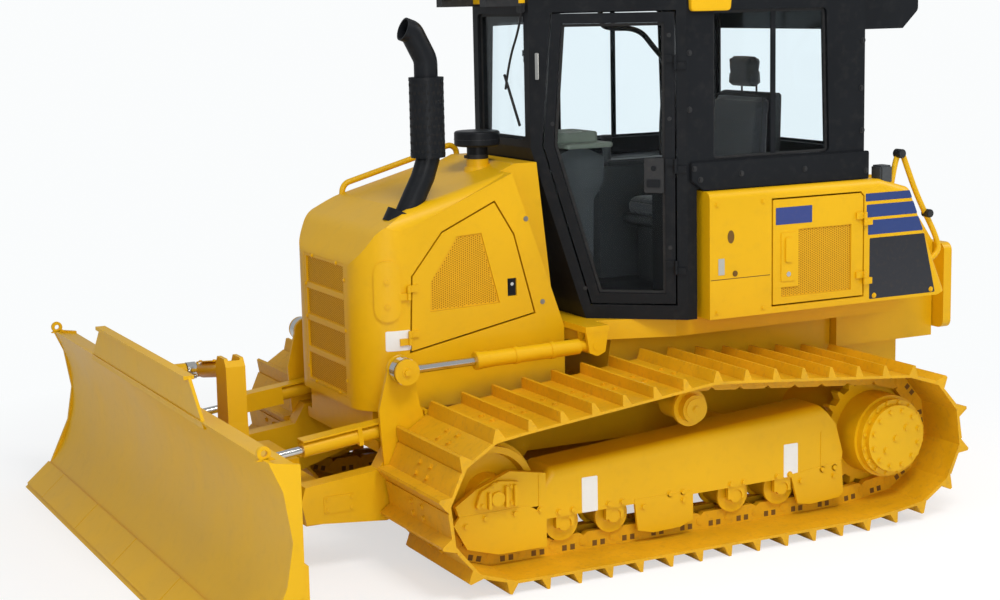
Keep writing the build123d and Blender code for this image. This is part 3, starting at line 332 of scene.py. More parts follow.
# %% [markdown]
# ## Finishes on the solids
# Most solids only need their finish. The list goes from finish to solids, with left and right together.

# %% Paint the solids
both_sides = (("left", 1), ("right", -1))


def sides(*names):
    return [f"{name}_{side}" for name in names for side, _ in both_sides]


painted = {
    "yellow_paint": sides("sprocket", "idler", "rollers", "track_frame", "engine_door", "side_body", "rear_door",
                          "lift_barrel", "angle_swivel", "angle_barrel", "trunnion")
    + ["main_frame", "deck", "hood", "front_mask", "rear_housing", "rear_grille", "handrail", "c_frame",
       "blade_yoke", "blade", "tilt_barrel"],
    "track_paint": sides("track"),
    "black_paint": sides("cab_door") + ["cab_frame", "cab_roof", "exhaust_stack", "precleaner"],
    "cast_block": ["engine_block"],
    "chrome_rod": sides("lift_rod", "angle_rod") + ["tilt_rod"],
    "window_glass": sides("door_glass") + ["cab_glass"],
    "seat_shell": ["seat"],
    "grey_plastic": ["consoles"],
    "black_plastic": ["work_lamps"],
}
for name, members in painted.items():
    for node in members:
        mesh = nodes[node].data
        mesh.materials.clear()
        mesh.materials.append(paint[name])
left_out = set(nodes) - {n for members in painted.values() for n in members}
print("solids with no finish:", sorted(left_out))

# %% [markdown]
# ## Tools for small pieces
# Plates, bars, rings and pipes come back all the time, so each has one short function. An outline is a
# list of flat points; a plane function says where such a point lies in space. Each piece is closed, its
# faces are turned outwards, and a bevel softens its edges so that they catch light as real plate does.

# %% Outlines and planes
def on_side(y):
    return lambda x, z: Vector((x, y, z))


def on_front(x):
    return lambda y, z: Vector((x, y, z))


def on_top(z):
    return lambda x, y: Vector((x, y, z))


def rectangle(a0, a1, b0, b1):
    return [(a0, b0), (a1, b0), (a1, b1), (a0, b1)]


def circle(a, b, radius, count=24, first=0.0):
    """Points of a circle; the first may be turned by a part of a step."""
    angles = [2 * math.pi * (i + first) / count for i in range(count)]
    return [(a + radius * math.cos(angle), b + radius * math.sin(angle)) for angle in angles]


def round_corners(points, radius, steps=4):
    """Replaces each corner of an outline by a short curve."""
    result = []
    for number, point in enumerate(points):
        corner = Vector(point)
        back = Vector(points[number - 1]) - corner
        ahead = Vector(points[(number + 1) % len(points)]) - corner
        cut = min(radius / math.tan(back.angle(ahead) / 2), back.length * 0.48, ahead.length * 0.48)
        start, end = corner + back.normalized() * cut, corner + ahead.normalized() * cut
        for step in range(steps + 1):
            t = step / steps
            result.append(tuple(start * (1 - t) ** 2 + corner * 2 * t * (1 - t) + end * t * t))
    return result


def rounded(a0, a1, b0, b1, radius):
    return round_corners(rectangle(a0, a1, b0, b1), radius)


def grow(points, amount):
    """Moves each side of an outline outwards, or inwards where the amount is negative."""
    count = len(points)
    area = sum(points[i - 1][0] * points[i][1] - points[i][0] * points[i - 1][1] for i in range(count))
    turn = 1 if area > 0 else -1
    result = []
    for i in range(count):
        before = (Vector(points[i]) - Vector(points[i - 1])).normalized()
        after = (Vector(points[(i + 1) % count]) - Vector(points[i])).normalized()
        one = Vector((before.y, -before.x)) * turn
        two = Vector((after.y, -after.x)) * turn
        shift = (one + two) / max(1 + one.dot(two), 0.2)
        result.append(tuple(Vector(points[i]) + shift * amount))
    return result


# %% Solids in a mesh, and the piece that holds them
def add_slab(bm, outline, plane, thickness):
    """An outline laid in space by its plane function and thickened by a vector."""
    near = [bm.verts.new(plane(a, b)) for a, b in outline]
    far = [bm.verts.new(vert.co + Vector(thickness)) for vert in near]
    bm.faces.new(near)
    bm.faces.new(far[::-1])
    for i in range(len(near)):
        j = (i + 1) % len(near)
        bm.faces.new((near[j], near[i], far[i], far[j]))


def add_box(bm, low, high):
    add_slab(bm, rectangle(low[0], high[0], low[1], high[1]), on_top(low[2]), (0, 0, high[2] - low[2]))


def add_frame(bm, outer, inner, plane, thickness):
    """A flat ring between two outlines with the same number of points."""
    loops = []
    for outline in (outer, inner):
        near = [bm.verts.new(plane(a, b)) for a, b in outline]
        loops.append((near, [bm.verts.new(vert.co + Vector(thickness)) for vert in near]))
    (outer_near, outer_far), (inner_near, inner_far) = loops
    for i in range(len(outer)):
        j = (i + 1) % len(outer)
        bm.faces.new((outer_near[i], outer_near[j], inner_near[j], inner_near[i]))
        bm.faces.new((outer_far[i], outer_far[j], inner_far[j], inner_far[i]))
        bm.faces.new((outer_near[i], outer_near[j], outer_far[j], outer_far[i]))
        bm.faces.new((inner_near[i], inner_near[j], inner_far[j], inner_far[i]))


def add_drum(bm, start, end, radius, end_radius=None, count=28):
    """A round bar or cone between two points."""
    start, end = Vector(start), Vector(end)
    end_radius = radius if end_radius is None else end_radius
    along = (end - start).normalized()
    side = along.orthogonal().normalized()
    other = along.cross(side)
    rings = []
    for centre, size in ((start, radius), (end, end_radius)):
        rings.append([bm.verts.new(centre + size * (side * math.cos(t) + other * math.sin(t)))
                      for t in (2 * math.pi * i / count for i in range(count))])
    bm.faces.new(rings[0])
    bm.faces.new(rings[1][::-1])
    for i in range(count):
        j = (i + 1) % count
        bm.faces.new((rings[0][i], rings[0][j], rings[1][j], rings[1][i]))


# Triangles that each added piece brings, by the piece's name.
triangles_added = {}


def place_piece(name, mesh, body):
    """Puts a finished mesh in the scene, on its body, and counts its triangles."""
    obj = bpy.data.objects.new(name, mesh)
    scene.collection.objects.link(obj)
    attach(obj, body)
    triangles_added[name] = sum(len(face.vertices) - 2 for face in mesh.polygons)
    return obj


def close_piece(name, bm, finish_name="yellow_paint", body="machine", bevel=0.0, smooth=True):
    """Ends a mesh build: normals outwards, a soft bevel, smooth round sides with sharp edges."""
    bmesh.ops.recalc_face_normals(bm, faces=bm.faces)
    if bevel:
        edges = [edge for edge in bm.edges if edge.is_manifold and edge.calc_face_angle(0) > 0.6]
        bmesh.ops.bevel(bm, geom=edges, offset=bevel, segments=2, affect="EDGES", clamp_overlap=True)
    mesh = bpy.data.meshes.new(name)
    bm.to_mesh(mesh)
    bm.free()
    mesh.materials.append(paint[finish_name])
    if smooth:
        mesh.shade_smooth()
        mesh.set_sharp_from_angle(angle=math.radians(38))
    return place_piece(name, mesh, body)


def plate(name, outlines, plane, thickness, finish_name="yellow_paint", body="machine", bevel=0.0, smooth=True):
    """A piece of one slab for each outline."""
    bm = bmesh.new()
    for outline in outlines:
        add_slab(bm, outline, plane, thickness)
    return close_piece(name, bm, finish_name, body, bevel, smooth)


def side_plates(*rows):
    """Plates on both sides: name, y, depth, finish, body ({} stands for the side), bevel, outlines."""
    for name, y, depth, finish_name, body, bevel, *outlines in rows:
        for side, sign in both_sides:
            plate(f"{name}_{side}", outlines, on_side(sign * y), (0, sign * depth, 0), finish_name,
                  body.format(side), bevel, smooth=bool(bevel))


def pipe(name, route, radius, finish_name="yellow_paint", body="machine"):
    """A bent round bar through the route's points."""
    curve = bpy.data.curves.new(name + "_line", "CURVE")
    curve.dimensions = "3D"
    curve.bevel_depth = radius
    curve.bevel_resolution = 3
    curve.resolution_u = 6
    curve.use_fill_caps = True
    spline = curve.splines.new("NURBS")
    spline.points.add(len(route) - 1)
    for point, place in zip(spline.points, route):
        point.co = (*place, 1)
    spline.order_u = 3
    spline.use_endpoint_u = True
    holder = bpy.data.objects.new(name + "_line", curve)
    scene.collection.objects.link(holder)
    mesh = bpy.data.meshes.new_from_object(holder.evaluated_get(bpy.context.evaluated_depsgraph_get()))
    bpy.data.objects.remove(holder)
    mesh.materials.clear()
    mesh.materials.append(paint[finish_name])
    mesh.shade_smooth()
    mesh.set_sharp_from_angle(angle=math.radians(50))
    return place_piece(name, mesh, body)


# %% [markdown]
# ## What repeats: bolt heads and perforated sheet
# A machine like this has hundreds of equal bolt heads and thousands of punched holes. Geometry Nodes
# set them out: the first tree puts one small head on every point of a mesh and turns it along the
# point's own direction. The second lays a staggered grid before a flat face, keeps the points whose ray
# meets the face, and puts a flat dark disc there, so the holes always end inside the sheet's outline.
# The holes are not cut: the discs' dark colour is painted shade for the shadow inside each hole.

# %% The tree for heads on points
heads_tree, h_in, h_out = new_group(
    "heads_on_points", "GeometryNodeTree",
    [("Geometry", "Geometry"), ("Sides", "Int", 6), ("Radius", "Float", 0.009), ("Height", "Float", 0.007),
     ("Washer", "Float", 0.013), ("Material", "Material")],
    [("Geometry", "Geometry")])
washer_height = 0.002
head = add_node(heads_tree, "GeometryNodeMeshCylinder")
washer = add_node(heads_tree, "GeometryNodeMeshCylinder", {"Vertices": 12, "Depth": washer_height})
half_up = add_node(heads_tree, "ShaderNodeMath", {1: 0.5}, operation="MULTIPLY")
lift = add_node(heads_tree, "ShaderNodeCombineXYZ")
head_up = add_node(heads_tree, "GeometryNodeTransform")
washer_up = add_node(heads_tree, "GeometryNodeTransform", {"Translation": (0, 0, washer_height / 2)})
both = add_node(heads_tree, "GeometryNodeJoinGeometry")
aim = add_node(heads_tree, "GeometryNodeInputNamedAttribute", {"Name": "aim"}, data_type="FLOAT_VECTOR")
turn = add_node(heads_tree, "FunctionNodeAlignRotationToVector", axis="Z")
put = add_node(heads_tree, "GeometryNodeInstanceOnPoints")
real = add_node(heads_tree, "GeometryNodeRealizeInstances")
dress = add_node(heads_tree, "GeometryNodeSetMaterial")
wire(heads_tree, (h_in, "Sides", head, "Vertices"), (h_in, "Radius", head, "Radius"),
     (h_in, "Height", head, "Depth"), (h_in, "Washer", washer, "Radius"), (h_in, "Height", half_up, 0),
     (half_up, 0, lift, "Z"), (head, "Mesh", head_up, "Geometry"), (lift, 0, head_up, "Translation"),
     (washer, "Mesh", washer_up, "Geometry"), (washer_up, 0, both, 0), (head_up, 0, both, 0),
     (aim, 0, turn, "Vector"), (h_in, "Geometry", put, "Points"), (both, 0, put, "Instance"),
     (turn, 0, put, "Rotation"), (put, 0, real, 0), (real, 0, dress, "Geometry"),
     (h_in, "Material", dress, "Material"), (dress, 0, h_out, 0))


def run_tree(name, mesh, tree, values, finish_name, body):
    """Gives a mesh the tree as a modifier, keeps the result as a plain mesh, and places it."""
    source = bpy.data.objects.new(name + "_source", mesh)
    scene.collection.objects.link(source)
    modifier = source.modifiers.new("repeat", "NODES")
    modifier.node_group = tree
    keys = {item.name: item.identifier for item in tree.interface.items_tree if item.in_out == "INPUT"}
    for label, value in {**values, "Material": paint[finish_name]}.items():
        modifier[keys[label]] = value
    result = bpy.data.meshes.new_from_object(source.evaluated_get(bpy.context.evaluated_depsgraph_get()))
    result.name = name
    bpy.data.objects.remove(source)
    return place_piece(name, result, body)


def heads(name, places, finish_name="yellow_paint", body="machine", sides=6, radius=0.009, height=0.007,
          washer=0.013):
    """Bolt heads, plugs or pin ends at (place, direction) pairs."""
    mesh = bpy.data.meshes.new(name + "_points")
    mesh.from_pydata([tuple(place) for place, _ in places], [], [])
    stored = mesh.attributes.new("aim", "FLOAT_VECTOR", "POINT")
    for item, (_, direction) in zip(stored.data, places):
        item.vector = direction
    values = {"Sides": sides, "Radius": radius, "Height": height, "Washer": washer}
    return run_tree(name, mesh, heads_tree, values, finish_name, body)


def to_side(sign, y, spots):
    """Places for heads at (x, z) spots on one side of the machine."""
    return [((x, sign * y, z), (0, sign, 0)) for x, z in spots]


def side_heads(*rows):
    """Heads on both sides: name, y, finish, body, (sides, radius, height, washer), then (x, z) spots."""
    for name, y, finish_name, body, sizes, *spots in rows:
        for side, sign in both_sides:
            heads(f"{name}_{side}", to_side(sign, y, spots), finish_name, body.format(side), *sizes)


# %% The tree for perforated sheet
holes_tree, p_in, p_out = new_group(
    "perforated_sheet", "GeometryNodeTree",
    [("Geometry", "Geometry"), ("Size X", "Float", 0.5), ("Size Y", "Float", 0.5), ("Pitch", "Float", 0.012),
     ("Hole", "Float", 0.004), ("Centre", "Vector"), ("Turn", "Vector"), ("Normal", "Vector"),
     ("Material", "Material")],
    [("Geometry", "Geometry")])
grid = add_node(holes_tree, "GeometryNodeMeshGrid")
for axis in "XY":
    steps = add_node(holes_tree, "ShaderNodeMath", operation="DIVIDE")
    rows = add_node(holes_tree, "ShaderNodeMath", operation="CEIL")
    wire(holes_tree, (p_in, "Size " + axis, steps, 0), (p_in, "Pitch", steps, 1), (steps, 0, rows, 0),
         (rows, 0, grid, "Vertices " + axis), (p_in, "Size " + axis, grid, "Size " + axis))
# The grid counts up along Y, so the index over the rows gives the column; each odd one moves half a step.
order = add_node(holes_tree, "GeometryNodeInputIndex")
over_rows = add_node(holes_tree, "ShaderNodeMath", operation="DIVIDE")
column = add_node(holes_tree, "ShaderNodeMath", operation="FLOOR")
odd = add_node(holes_tree, "ShaderNodeMath", {1: 2}, operation="MODULO")
half_pitch = add_node(holes_tree, "ShaderNodeMath", {1: 0.5}, operation="MULTIPLY")
half_step = add_node(holes_tree, "ShaderNodeMath", operation="MULTIPLY")
stagger = add_node(holes_tree, "ShaderNodeCombineXYZ")
shifted = add_node(holes_tree, "GeometryNodeSetPosition")
placed = add_node(holes_tree, "GeometryNodeTransform")
into = add_node(holes_tree, "ShaderNodeVectorMath", {"Scale": -1}, operation="SCALE")
ray = add_node(holes_tree, "GeometryNodeRaycast", {"Ray Length": 0.02})
disc = add_node(holes_tree, "GeometryNodeMeshCircle", {"Vertices": 7}, fill_type="NGON")
punch = add_node(holes_tree, "GeometryNodeInstanceOnPoints")
aim_out = add_node(holes_tree, "FunctionNodeAlignRotationToVector", axis="Z")
real = add_node(holes_tree, "GeometryNodeRealizeInstances")
dress = add_node(holes_tree, "GeometryNodeSetMaterial")
wire(holes_tree, (order, 0, over_rows, 0), (rows, 0, over_rows, 1), (over_rows, 0, column, 0),
     (column, 0, odd, 0), (p_in, "Pitch", half_pitch, 0), (odd, 0, half_step, 0), (half_pitch, 0, half_step, 1),
     (half_step, 0, stagger, "Y"), (grid, "Mesh", shifted, "Geometry"), (stagger, 0, shifted, "Offset"),
     (shifted, 0, placed, "Geometry"), (p_in, "Centre", placed, "Translation"),
     (p_in, "Turn", placed, "Rotation"), (p_in, "Normal", into, 0), (p_in, "Geometry", ray, "Target Geometry"),
     (into, 0, ray, "Ray Direction"), (p_in, "Hole", disc, "Radius"), (placed, 0, punch, "Points"),
     (ray, "Is Hit", punch, "Selection"), (disc, 0, punch, "Instance"), (p_in, "Normal", aim_out, "Vector"),
     (aim_out, 0, punch, "Rotation"), (punch, 0, real, 0), (real, 0, dress, "Geometry"),
     (p_in, "Material", dress, "Material"), (dress, 0, p_out, 0))

sheet_proud = 0.0015
hole_proud = 0.0004


def perforated(name, outline, plane, normal, turn, body, pitch, hole):
    """A thin sheet inside an outline and its holes, flat discs whose dark colour is painted shade; the sheet lies on
    the plane.
    """
    normal = Vector(normal)
    plate(name + "_sheet", [outline], plane, normal * sheet_proud, "mesh_paint", body, smooth=False)
    corners = [plane(a, b) + normal * sheet_proud for a, b in grow(outline, -0.006)]
    low, high = (Vector([pick(c[i] for c in corners) for i in range(3)]) for pick in (min, max))
    face = bpy.data.meshes.new(name + "_face")
    face.from_pydata([tuple(c) for c in corners], [], [tuple(range(len(corners)))])
    flat_a, flat_b = [(high - low)[i] for i in range(3) if abs(normal[i]) < 0.7]
    values = {"Size X": flat_a, "Size Y": flat_b, "Pitch": pitch, "Hole": hole,
              "Centre": tuple((low + high) / 2 + normal * hole_proud), "Turn": turn, "Normal": tuple(normal)}
    return run_tree(name + "_holes", face, holes_tree, values, "painted_mesh_hole_shade", body)


print("trees:", [g.name for g in bpy.data.node_groups if g.type == "GEOMETRY"])

# %% [markdown]
# ## Tracks
# Each shoe is held to its link by four bolts, the links show their pin ends and the small windows in
# which the shoe nuts sit. The windows are thin dark slabs: their colour is painted shade for the recess.
# Where they lie follows from the chain: the same wheels and the same number of shoes as in the solids
# give the pins' places, so a loop over the pins puts everything on its link.

# %% Work out the chain
track_centre, shoe_count, plate_outer, link_face = 0.895, 38, 0.050, 0.067
idler_wheel = (0.710, 0.360, 0.263)
carrier_wheel = (-0.275, 0.628, 0.1075)
sprocket_centre, sprocket_pitches = (-1.307, 0.385), 11
bend_wheel = (-1.070, 0.2008, 0.1038)


def chain_path(pitch):
    sprocket = (*sprocket_centre, sprocket_pitches * pitch / (2 * math.pi))
    wheels = (idler_wheel, carrier_wheel, sprocket, bend_wheel)
    count = len(wheels)
    headings = []
    for i in range(count):
        (x1, z1, r1), (x2, z2, r2) = wheels[i], wheels[(i + 1) % count]
        headings.append(math.atan2(z2 - z1, x2 - x1) - math.acos((r1 - r2) / math.hypot(x2 - x1, z2 - z1)))
    path = []
    for i, (x1, z1, r1) in enumerate(wheels):
        path.append(("arc", r1 * ((headings[i] - headings[i - 1]) % (2 * math.pi)), (x1, z1, r1, headings[i - 1])))
        x2, z2, r2 = wheels[(i + 1) % count]
        out = Vector((math.cos(headings[i]), math.sin(headings[i])))
        start, end = Vector((x1, z1)) + out * r1, Vector((x2, z2)) + out * r2
        path.append(("run", (end - start).length, (start, end)))
    return path


pitch = 0.150
for _ in range(40):
    pitch = sum(length for _, length, _ in chain_path(pitch)) / shoe_count


def chain_point(distance):
    for kind, length, data in chain_path(pitch):
        if distance <= length:
            break
        distance -= length
    if kind == "arc":
        x, z, radius, begin = data
        angle = begin + distance / radius
        return Vector((x + radius * math.cos(angle), z + radius * math.sin(angle)))
    return data[0].lerp(data[1], distance / length)


pins = [chain_point(number * pitch) for number in range(shoe_count)]
print("pitch", round(pitch * 1000, 2), "mm")

# %% Dress the chain
for side, sign in both_sides:
    shoe_bolts, pin_ends = [], []
    windows = bmesh.new()
    for number, here in enumerate(pins):
        along = (pins[(number + 1) % shoe_count] - here).normalized()
        out = Vector((along.y, -along.x))

        def at(s, h, y):
            flat = here + along * s + out * h
            return Vector((flat.x, y, flat.y))

        shoe_bolts += [(at(s, plate_outer, sign * (track_centre + across)), (out.x, 0, out.y))
                       for s in (0.062, 0.112) for across in (-0.052, 0.052)]
        for face in (-1, 1):
            y = sign * track_centre + face * link_face
            pin_ends.append((at(0, 0, y), (0, face, 0)))
            # Two windows on each link face: thin slabs in the painted hole shade, standing for the shade in the
            # recess.
            for s in (0.044, 0.084):
                add_slab(windows, rectangle(s, s + 0.022, 0.006, 0.030), lambda a, b: at(a, b, y),
                         (0, face * 0.0012, 0))
    heads(f"shoe_bolts_{side}", shoe_bolts, "track_paint", radius=0.011, height=0.010, washer=0.015)
    heads(f"pin_ends_{side}", pin_ends, "track_paint", sides=14, radius=0.017, height=0.003, washer=0.022)
    close_piece(f"link_window_shade_{side}", windows, "hole_dark", smooth=False)

# %% [markdown]
# ## Undercarriage
# The final drive's cover is held by a ring of bolts, the roller saddles and guards by pairs, and the
# idler's slide has a ribbed bracket. Two blank plates sit on the track frame's side.

# %% Dress the track frames
frame_side, drive_side, carrier_side, carrier_hub = 1.017, 1.120, 1.025, carrier_wheel[:2]
saddle_bolts = [(x + dx, 0.262) for x in (0.375, 0.130, -0.180, -0.500, -0.750, -1.000) for dx in (-0.034, 0.034)]
guard_bolts = [(0.50, 0.285), (0.62, 0.285), (0.76, 0.285), (0.85, 0.262), (-0.01, 0.225), (-0.215, 0.225),
               (-0.845, 0.225), (-1.03, 0.225)]
bracket = round_corners([(0.600, 0.322), (0.600, 0.425), (0.700, 0.440), (0.785, 0.405), (0.815, 0.330)], 0.02)
for side, sign in both_sides:
    bolts = [bolt for radius, count, y in ((0.130, 12, drive_side), (0.166, 16, 1.095))
             for bolt in to_side(sign, y, circle(*sprocket_centre, radius, count, 0.5))]
    heads(f"drive_bolts_{side}", bolts, radius=0.010, height=0.008, washer=0.014)
    bolts = to_side(sign, frame_side, saddle_bolts) + to_side(sign, frame_side + 0.002, guard_bolts)
    heads(f"frame_bolts_{side}", bolts, radius=0.011, height=0.009, washer=0.016)
    bm = bmesh.new()
    add_slab(bm, bracket, on_side(sign * 1.0165), (0, sign * 0.022, 0))
    for x, top in ((0.625, 0.418), (0.665, 0.418), (0.745, 0.400)):
        add_slab(bm, rectangle(x, x + 0.014, 0.328, top), on_side(sign * 1.038), (0, sign * 0.020, 0))
    add_drum(bm, (0.710, sign * 1.036, 0.366), (0.710, sign * 1.050, 0.366), 0.032)
    close_piece(f"idler_bracket_{side}", bm, bevel=0.002)
side_heads(
    ("drive_plugs", drive_side, "yellow_paint", "machine", (8, 0.014, 0.007, 0.019),
     *((sprocket_centre[0] + dx, sprocket_centre[1] + dz) for dx, dz in ((0, 0), (0.055, -0.05), (-0.06, 0.045)))),
    ("carrier_cap", carrier_side, "yellow_paint", "machine", (28, 0.048, 0.006, 0.056), carrier_hub),
    ("carrier_plug", carrier_side + 0.006, "yellow_paint", "machine", (6, 0.013, 0.006, 0.017), carrier_hub),
    ("idler_bolts", 1.0385, "yellow_paint", "machine", (6, 0.009, 0.007, 0.013),
     (0.645, 0.340), (0.645, 0.410), (0.780, 0.345), (0.725, 0.425)))
side_plates(
    ("frame_plates", frame_side, 0.0015, "white_plate", "machine", 0,
     rounded(0.219, 0.296, 0.240, 0.395, 0.006), rounded(-0.829, -0.752, 0.252, 0.405, 0.006)),
    ("frame_welds", frame_side, 0.003, "yellow_paint", "machine", 0.001,
     *(rectangle(x, x + 0.006, 0.262, 0.44) for x in (0.500, -0.960))))
print("undercarriage dressed")

# %% [markdown]
# ## Hood and engine doors
# The front mask shows one column of four wide perforated panels, so it is built here in place of the
# plain solid. The pad and the blank plate lie on the rounded corner of the hood: their points are set
# out along the hood's skin, first on the flat side and then around the corner's arc.

# %% Build the mask and dress the hood
mask_low, mask_high, mask_half, opening_half, bar, fit = 0.690, 1.290, 0.250, 0.226, 0.014, 0.0003
front_turn, side_turn = (math.pi / 2, 0, math.pi / 2), (math.pi / 2, 0, 0)
bm = bmesh.new()
add_frame(bm, rectangle(fit - mask_half, mask_half - fit, mask_low + fit, mask_high - fit),
          rectangle(-opening_half, opening_half, mask_low + bar, mask_high - bar), on_front(1.025), (0.019, 0, 0))
row_height = (mask_high - mask_low) / 4
for row in range(1, 4):
    middle = mask_low + row * row_height
    add_box(bm, (1.026, -opening_half - 0.0002, middle - bar), (1.0435, opening_half + 0.0002, middle + bar))
mask_frame = close_piece("mask_frame", bm, bevel=0.0015)
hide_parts("front_mask")
for row in range(4):
    low = mask_low + row * row_height + bar
    panel = rounded(-opening_half, opening_half, low, low + row_height - 2 * bar, 0.012)
    perforated(f"mask_mesh_{row + 1}", panel, on_front(1.033), (1, 0, 0), front_turn, "machine", 0.0098, 0.0033)
heads("mask_bolts", [((1.044, y, z), (1, 0, 0)) for y, z in
                     ((-0.238, 1.143), (0.238, 1.217), (-0.238, 0.754), (0.238, 0.764), (0.146, 0.697),
                      (-0.146, 0.697), (0.146, 1.283), (-0.146, 1.283), (0.238, 0.990), (-0.238, 0.990))],
      radius=0.007, height=0.006, washer=0.011)
corner_x, hood_half, corner_radius = 0.865, 0.450, 0.180


def hood_skin(distance, z, sign, lift=0.0):
    """A point on the hood's side, as far along the skin from where its corner arc begins."""
    if distance < 0:
        return Vector((corner_x + distance, sign * (hood_half + lift), z))
    turn, reach = distance / corner_radius, corner_radius + lift
    return Vector((corner_x + reach * math.sin(turn), sign * (hood_half - corner_radius + reach * math.cos(turn)), z))


def add_wrap(bm, sign, start, end, low, high, radius, thickness):
    """A plate with round corners that follows the hood's skin."""
    rings, steps, sunk = [], 16, -0.001
    for step in range(steps + 1):
        distance = start + (end - start) * step / steps
        near_end = min(distance - start, end - distance)
        cut = radius - math.sqrt(max(radius ** 2 - max(radius - near_end, 0) ** 2, 0))
        cut = min(cut, (high - low) / 2 - 0.001)
        rings.append([bm.verts.new(hood_skin(distance, z, sign, lift)) for z, lift in
                      ((low + cut, sunk), (high - cut, sunk), (high - cut, thickness), (low + cut, thickness))])
    for one, two in zip(rings, rings[1:]):
        for i in range(4):
            j = (i + 1) % 4
            bm.faces.new((one[i], one[j], two[j], two[i]))
    bm.faces.new(rings[0])
    bm.faces.new(rings[-1][::-1])


mesh_outline = [(0.728, 1.075), (0.722, 1.205), (0.590, 1.400), (0.470, 1.405), (0.385, 1.085)]
pad_middle, pad_thick = 0.0622, 0.009
for side, sign in both_sides:
    for name, finish_name, *measures in (
            ("hood_pad", "yellow_paint", 0.004, 0.118, 1.048, 1.316, 0.055, pad_thick),
            ("hood_plate", "white_plate", -0.040, 0.075, 0.917, 1.006, 0.004, 0.0012),
            ("hood_small_plate", "mesh_paint", -0.024, -0.006, 0.803, 0.865, 0.003, 0.0012)):
        bm = bmesh.new()
        add_wrap(bm, sign, *measures)
        close_piece(f"{name}_{side}", bm, finish_name)
    spot, turn = hood_skin(pad_middle, 0, sign, pad_thick), pad_middle / corner_radius
    heads(f"hood_pad_bolts_{side}", [((spot.x, spot.y, z), (math.sin(turn), sign * math.cos(turn), 0))
                                     for z in (1.116, 1.224)], radius=0.010, washer=0.015)
    perforated(f"engine_mesh_{side}", grow(mesh_outline, -0.0005), on_side(sign * 0.4422), (0, sign, 0), side_turn,
               f"engine_door_{side}", 0.0100, 0.0034)
side_plates(
    ("latch_well", 0.4405, 0.001, "black_plastic", "engine_door_{}", 0,
     rounded(0.3008, 0.3442, 1.1108, 1.1892, 0.004)),
    ("latch_paddle", 0.4415, 0.006, "black_paint", "engine_door_{}", 0.0012,
     rounded(0.306, 0.339, 1.117, 1.183, 0.006)))
side_heads(
    ("latch_key", 0.4475, "chrome_rod", "engine_door_{}", (16, 0.006, 0.0025, 0.008), (0.322, 1.164)),
    ("hood_bolts", hood_half, "bolt_steel", "machine", (6, 0.008, 0.005, 0.012), (0.247, 1.452), (0.170, 1.070)))

# %% Pipes and guard on the hood
cleaner, stack, guard_radius = (0.310, 0.100), (0.672, 0.350), 0.0757


def add_post(bm, low, high, *radii, **settings):
    """An upright drum over the precleaner's centre."""
    add_drum(bm, (*cleaner, low), (*cleaner, high), *radii, **settings)


bm = bmesh.new()
add_post(bm, 1.640, 1.702, 0.0515)
add_post(bm, 1.640, 1.668, 0.068, 0.060)
close_piece("precleaner_neck", bm, bevel=0.0015)
bm = bmesh.new()
add_post(bm, 1.704, 1.722, 0.0505)
add_box(bm, (0.356, 0.090, 1.706), (0.374, 0.110, 1.720))
add_post(bm, 1.790, 1.794, 0.1062, count=40)
close_piece("precleaner_clamp", bm, "black_plastic", bevel=0.001)
# The guard's holes are flat near-black discs: painted shade for the dark inside of each hole.
guard_holes = [((stack[0] + guard_radius * x, stack[1] + guard_radius * y, 1.775 + row * 0.036), (x, y, 0))
               for row in range(9) for x, y in circle(0, 0, 1, 22, 0.5 * (row % 2))]
heads("exhaust_guard_holes", guard_holes, "painted_guard_hole_shade", sides=10, radius=0.0075, height=0.0008, washer=0.0001)
bm = bmesh.new()
for z in (1.752, 2.080):
    add_frame(bm, circle(*stack, 0.0775, 36), circle(*stack, 0.0755, 36), on_top(z), (0, 0, 0.014))
close_piece("exhaust_guard_bands", bm, "black_paint")
print("hood dressed")

# %% [markdown]
# ## Cab
# Each pane gets a rubber seal. The seal's outline is the pane's own outline moved inwards by its width,
# so it always fits. Handles, wiper, bolts and the divider of the quarter window are small solids that
# sit on the wall they belong to. The door's pieces move with the door.

# %% Dress the cab walls
door_foot, door_line, door_out = Vector((-0.420, 0.740)), Vector((0.7705, -0.6374)), Vector((0.6374, 0.7705))
door_length = 0.71381
door_corners = ((0.065, 1.035), (0.065, 2.360), (0.860, 2.360), (0.925, 1.760), (0.625, 1.035))
door_pane = grow([(share * door_length, z) for share, z in door_corners], -0.053)


def on_door(sign, lift):
    def place(s, z):
        flat = door_foot + door_line * s + door_out * lift
        return Vector((flat.x, sign * flat.y, z))
    return place


def seal(name, outline, plane, thickness, body="machine", width=0.014):
    bm = bmesh.new()
    add_frame(bm, grow(outline, -0.0006), grow(outline, -width), plane, thickness)
    close_piece(name, bm, "rubber", body, bevel=0.0012)


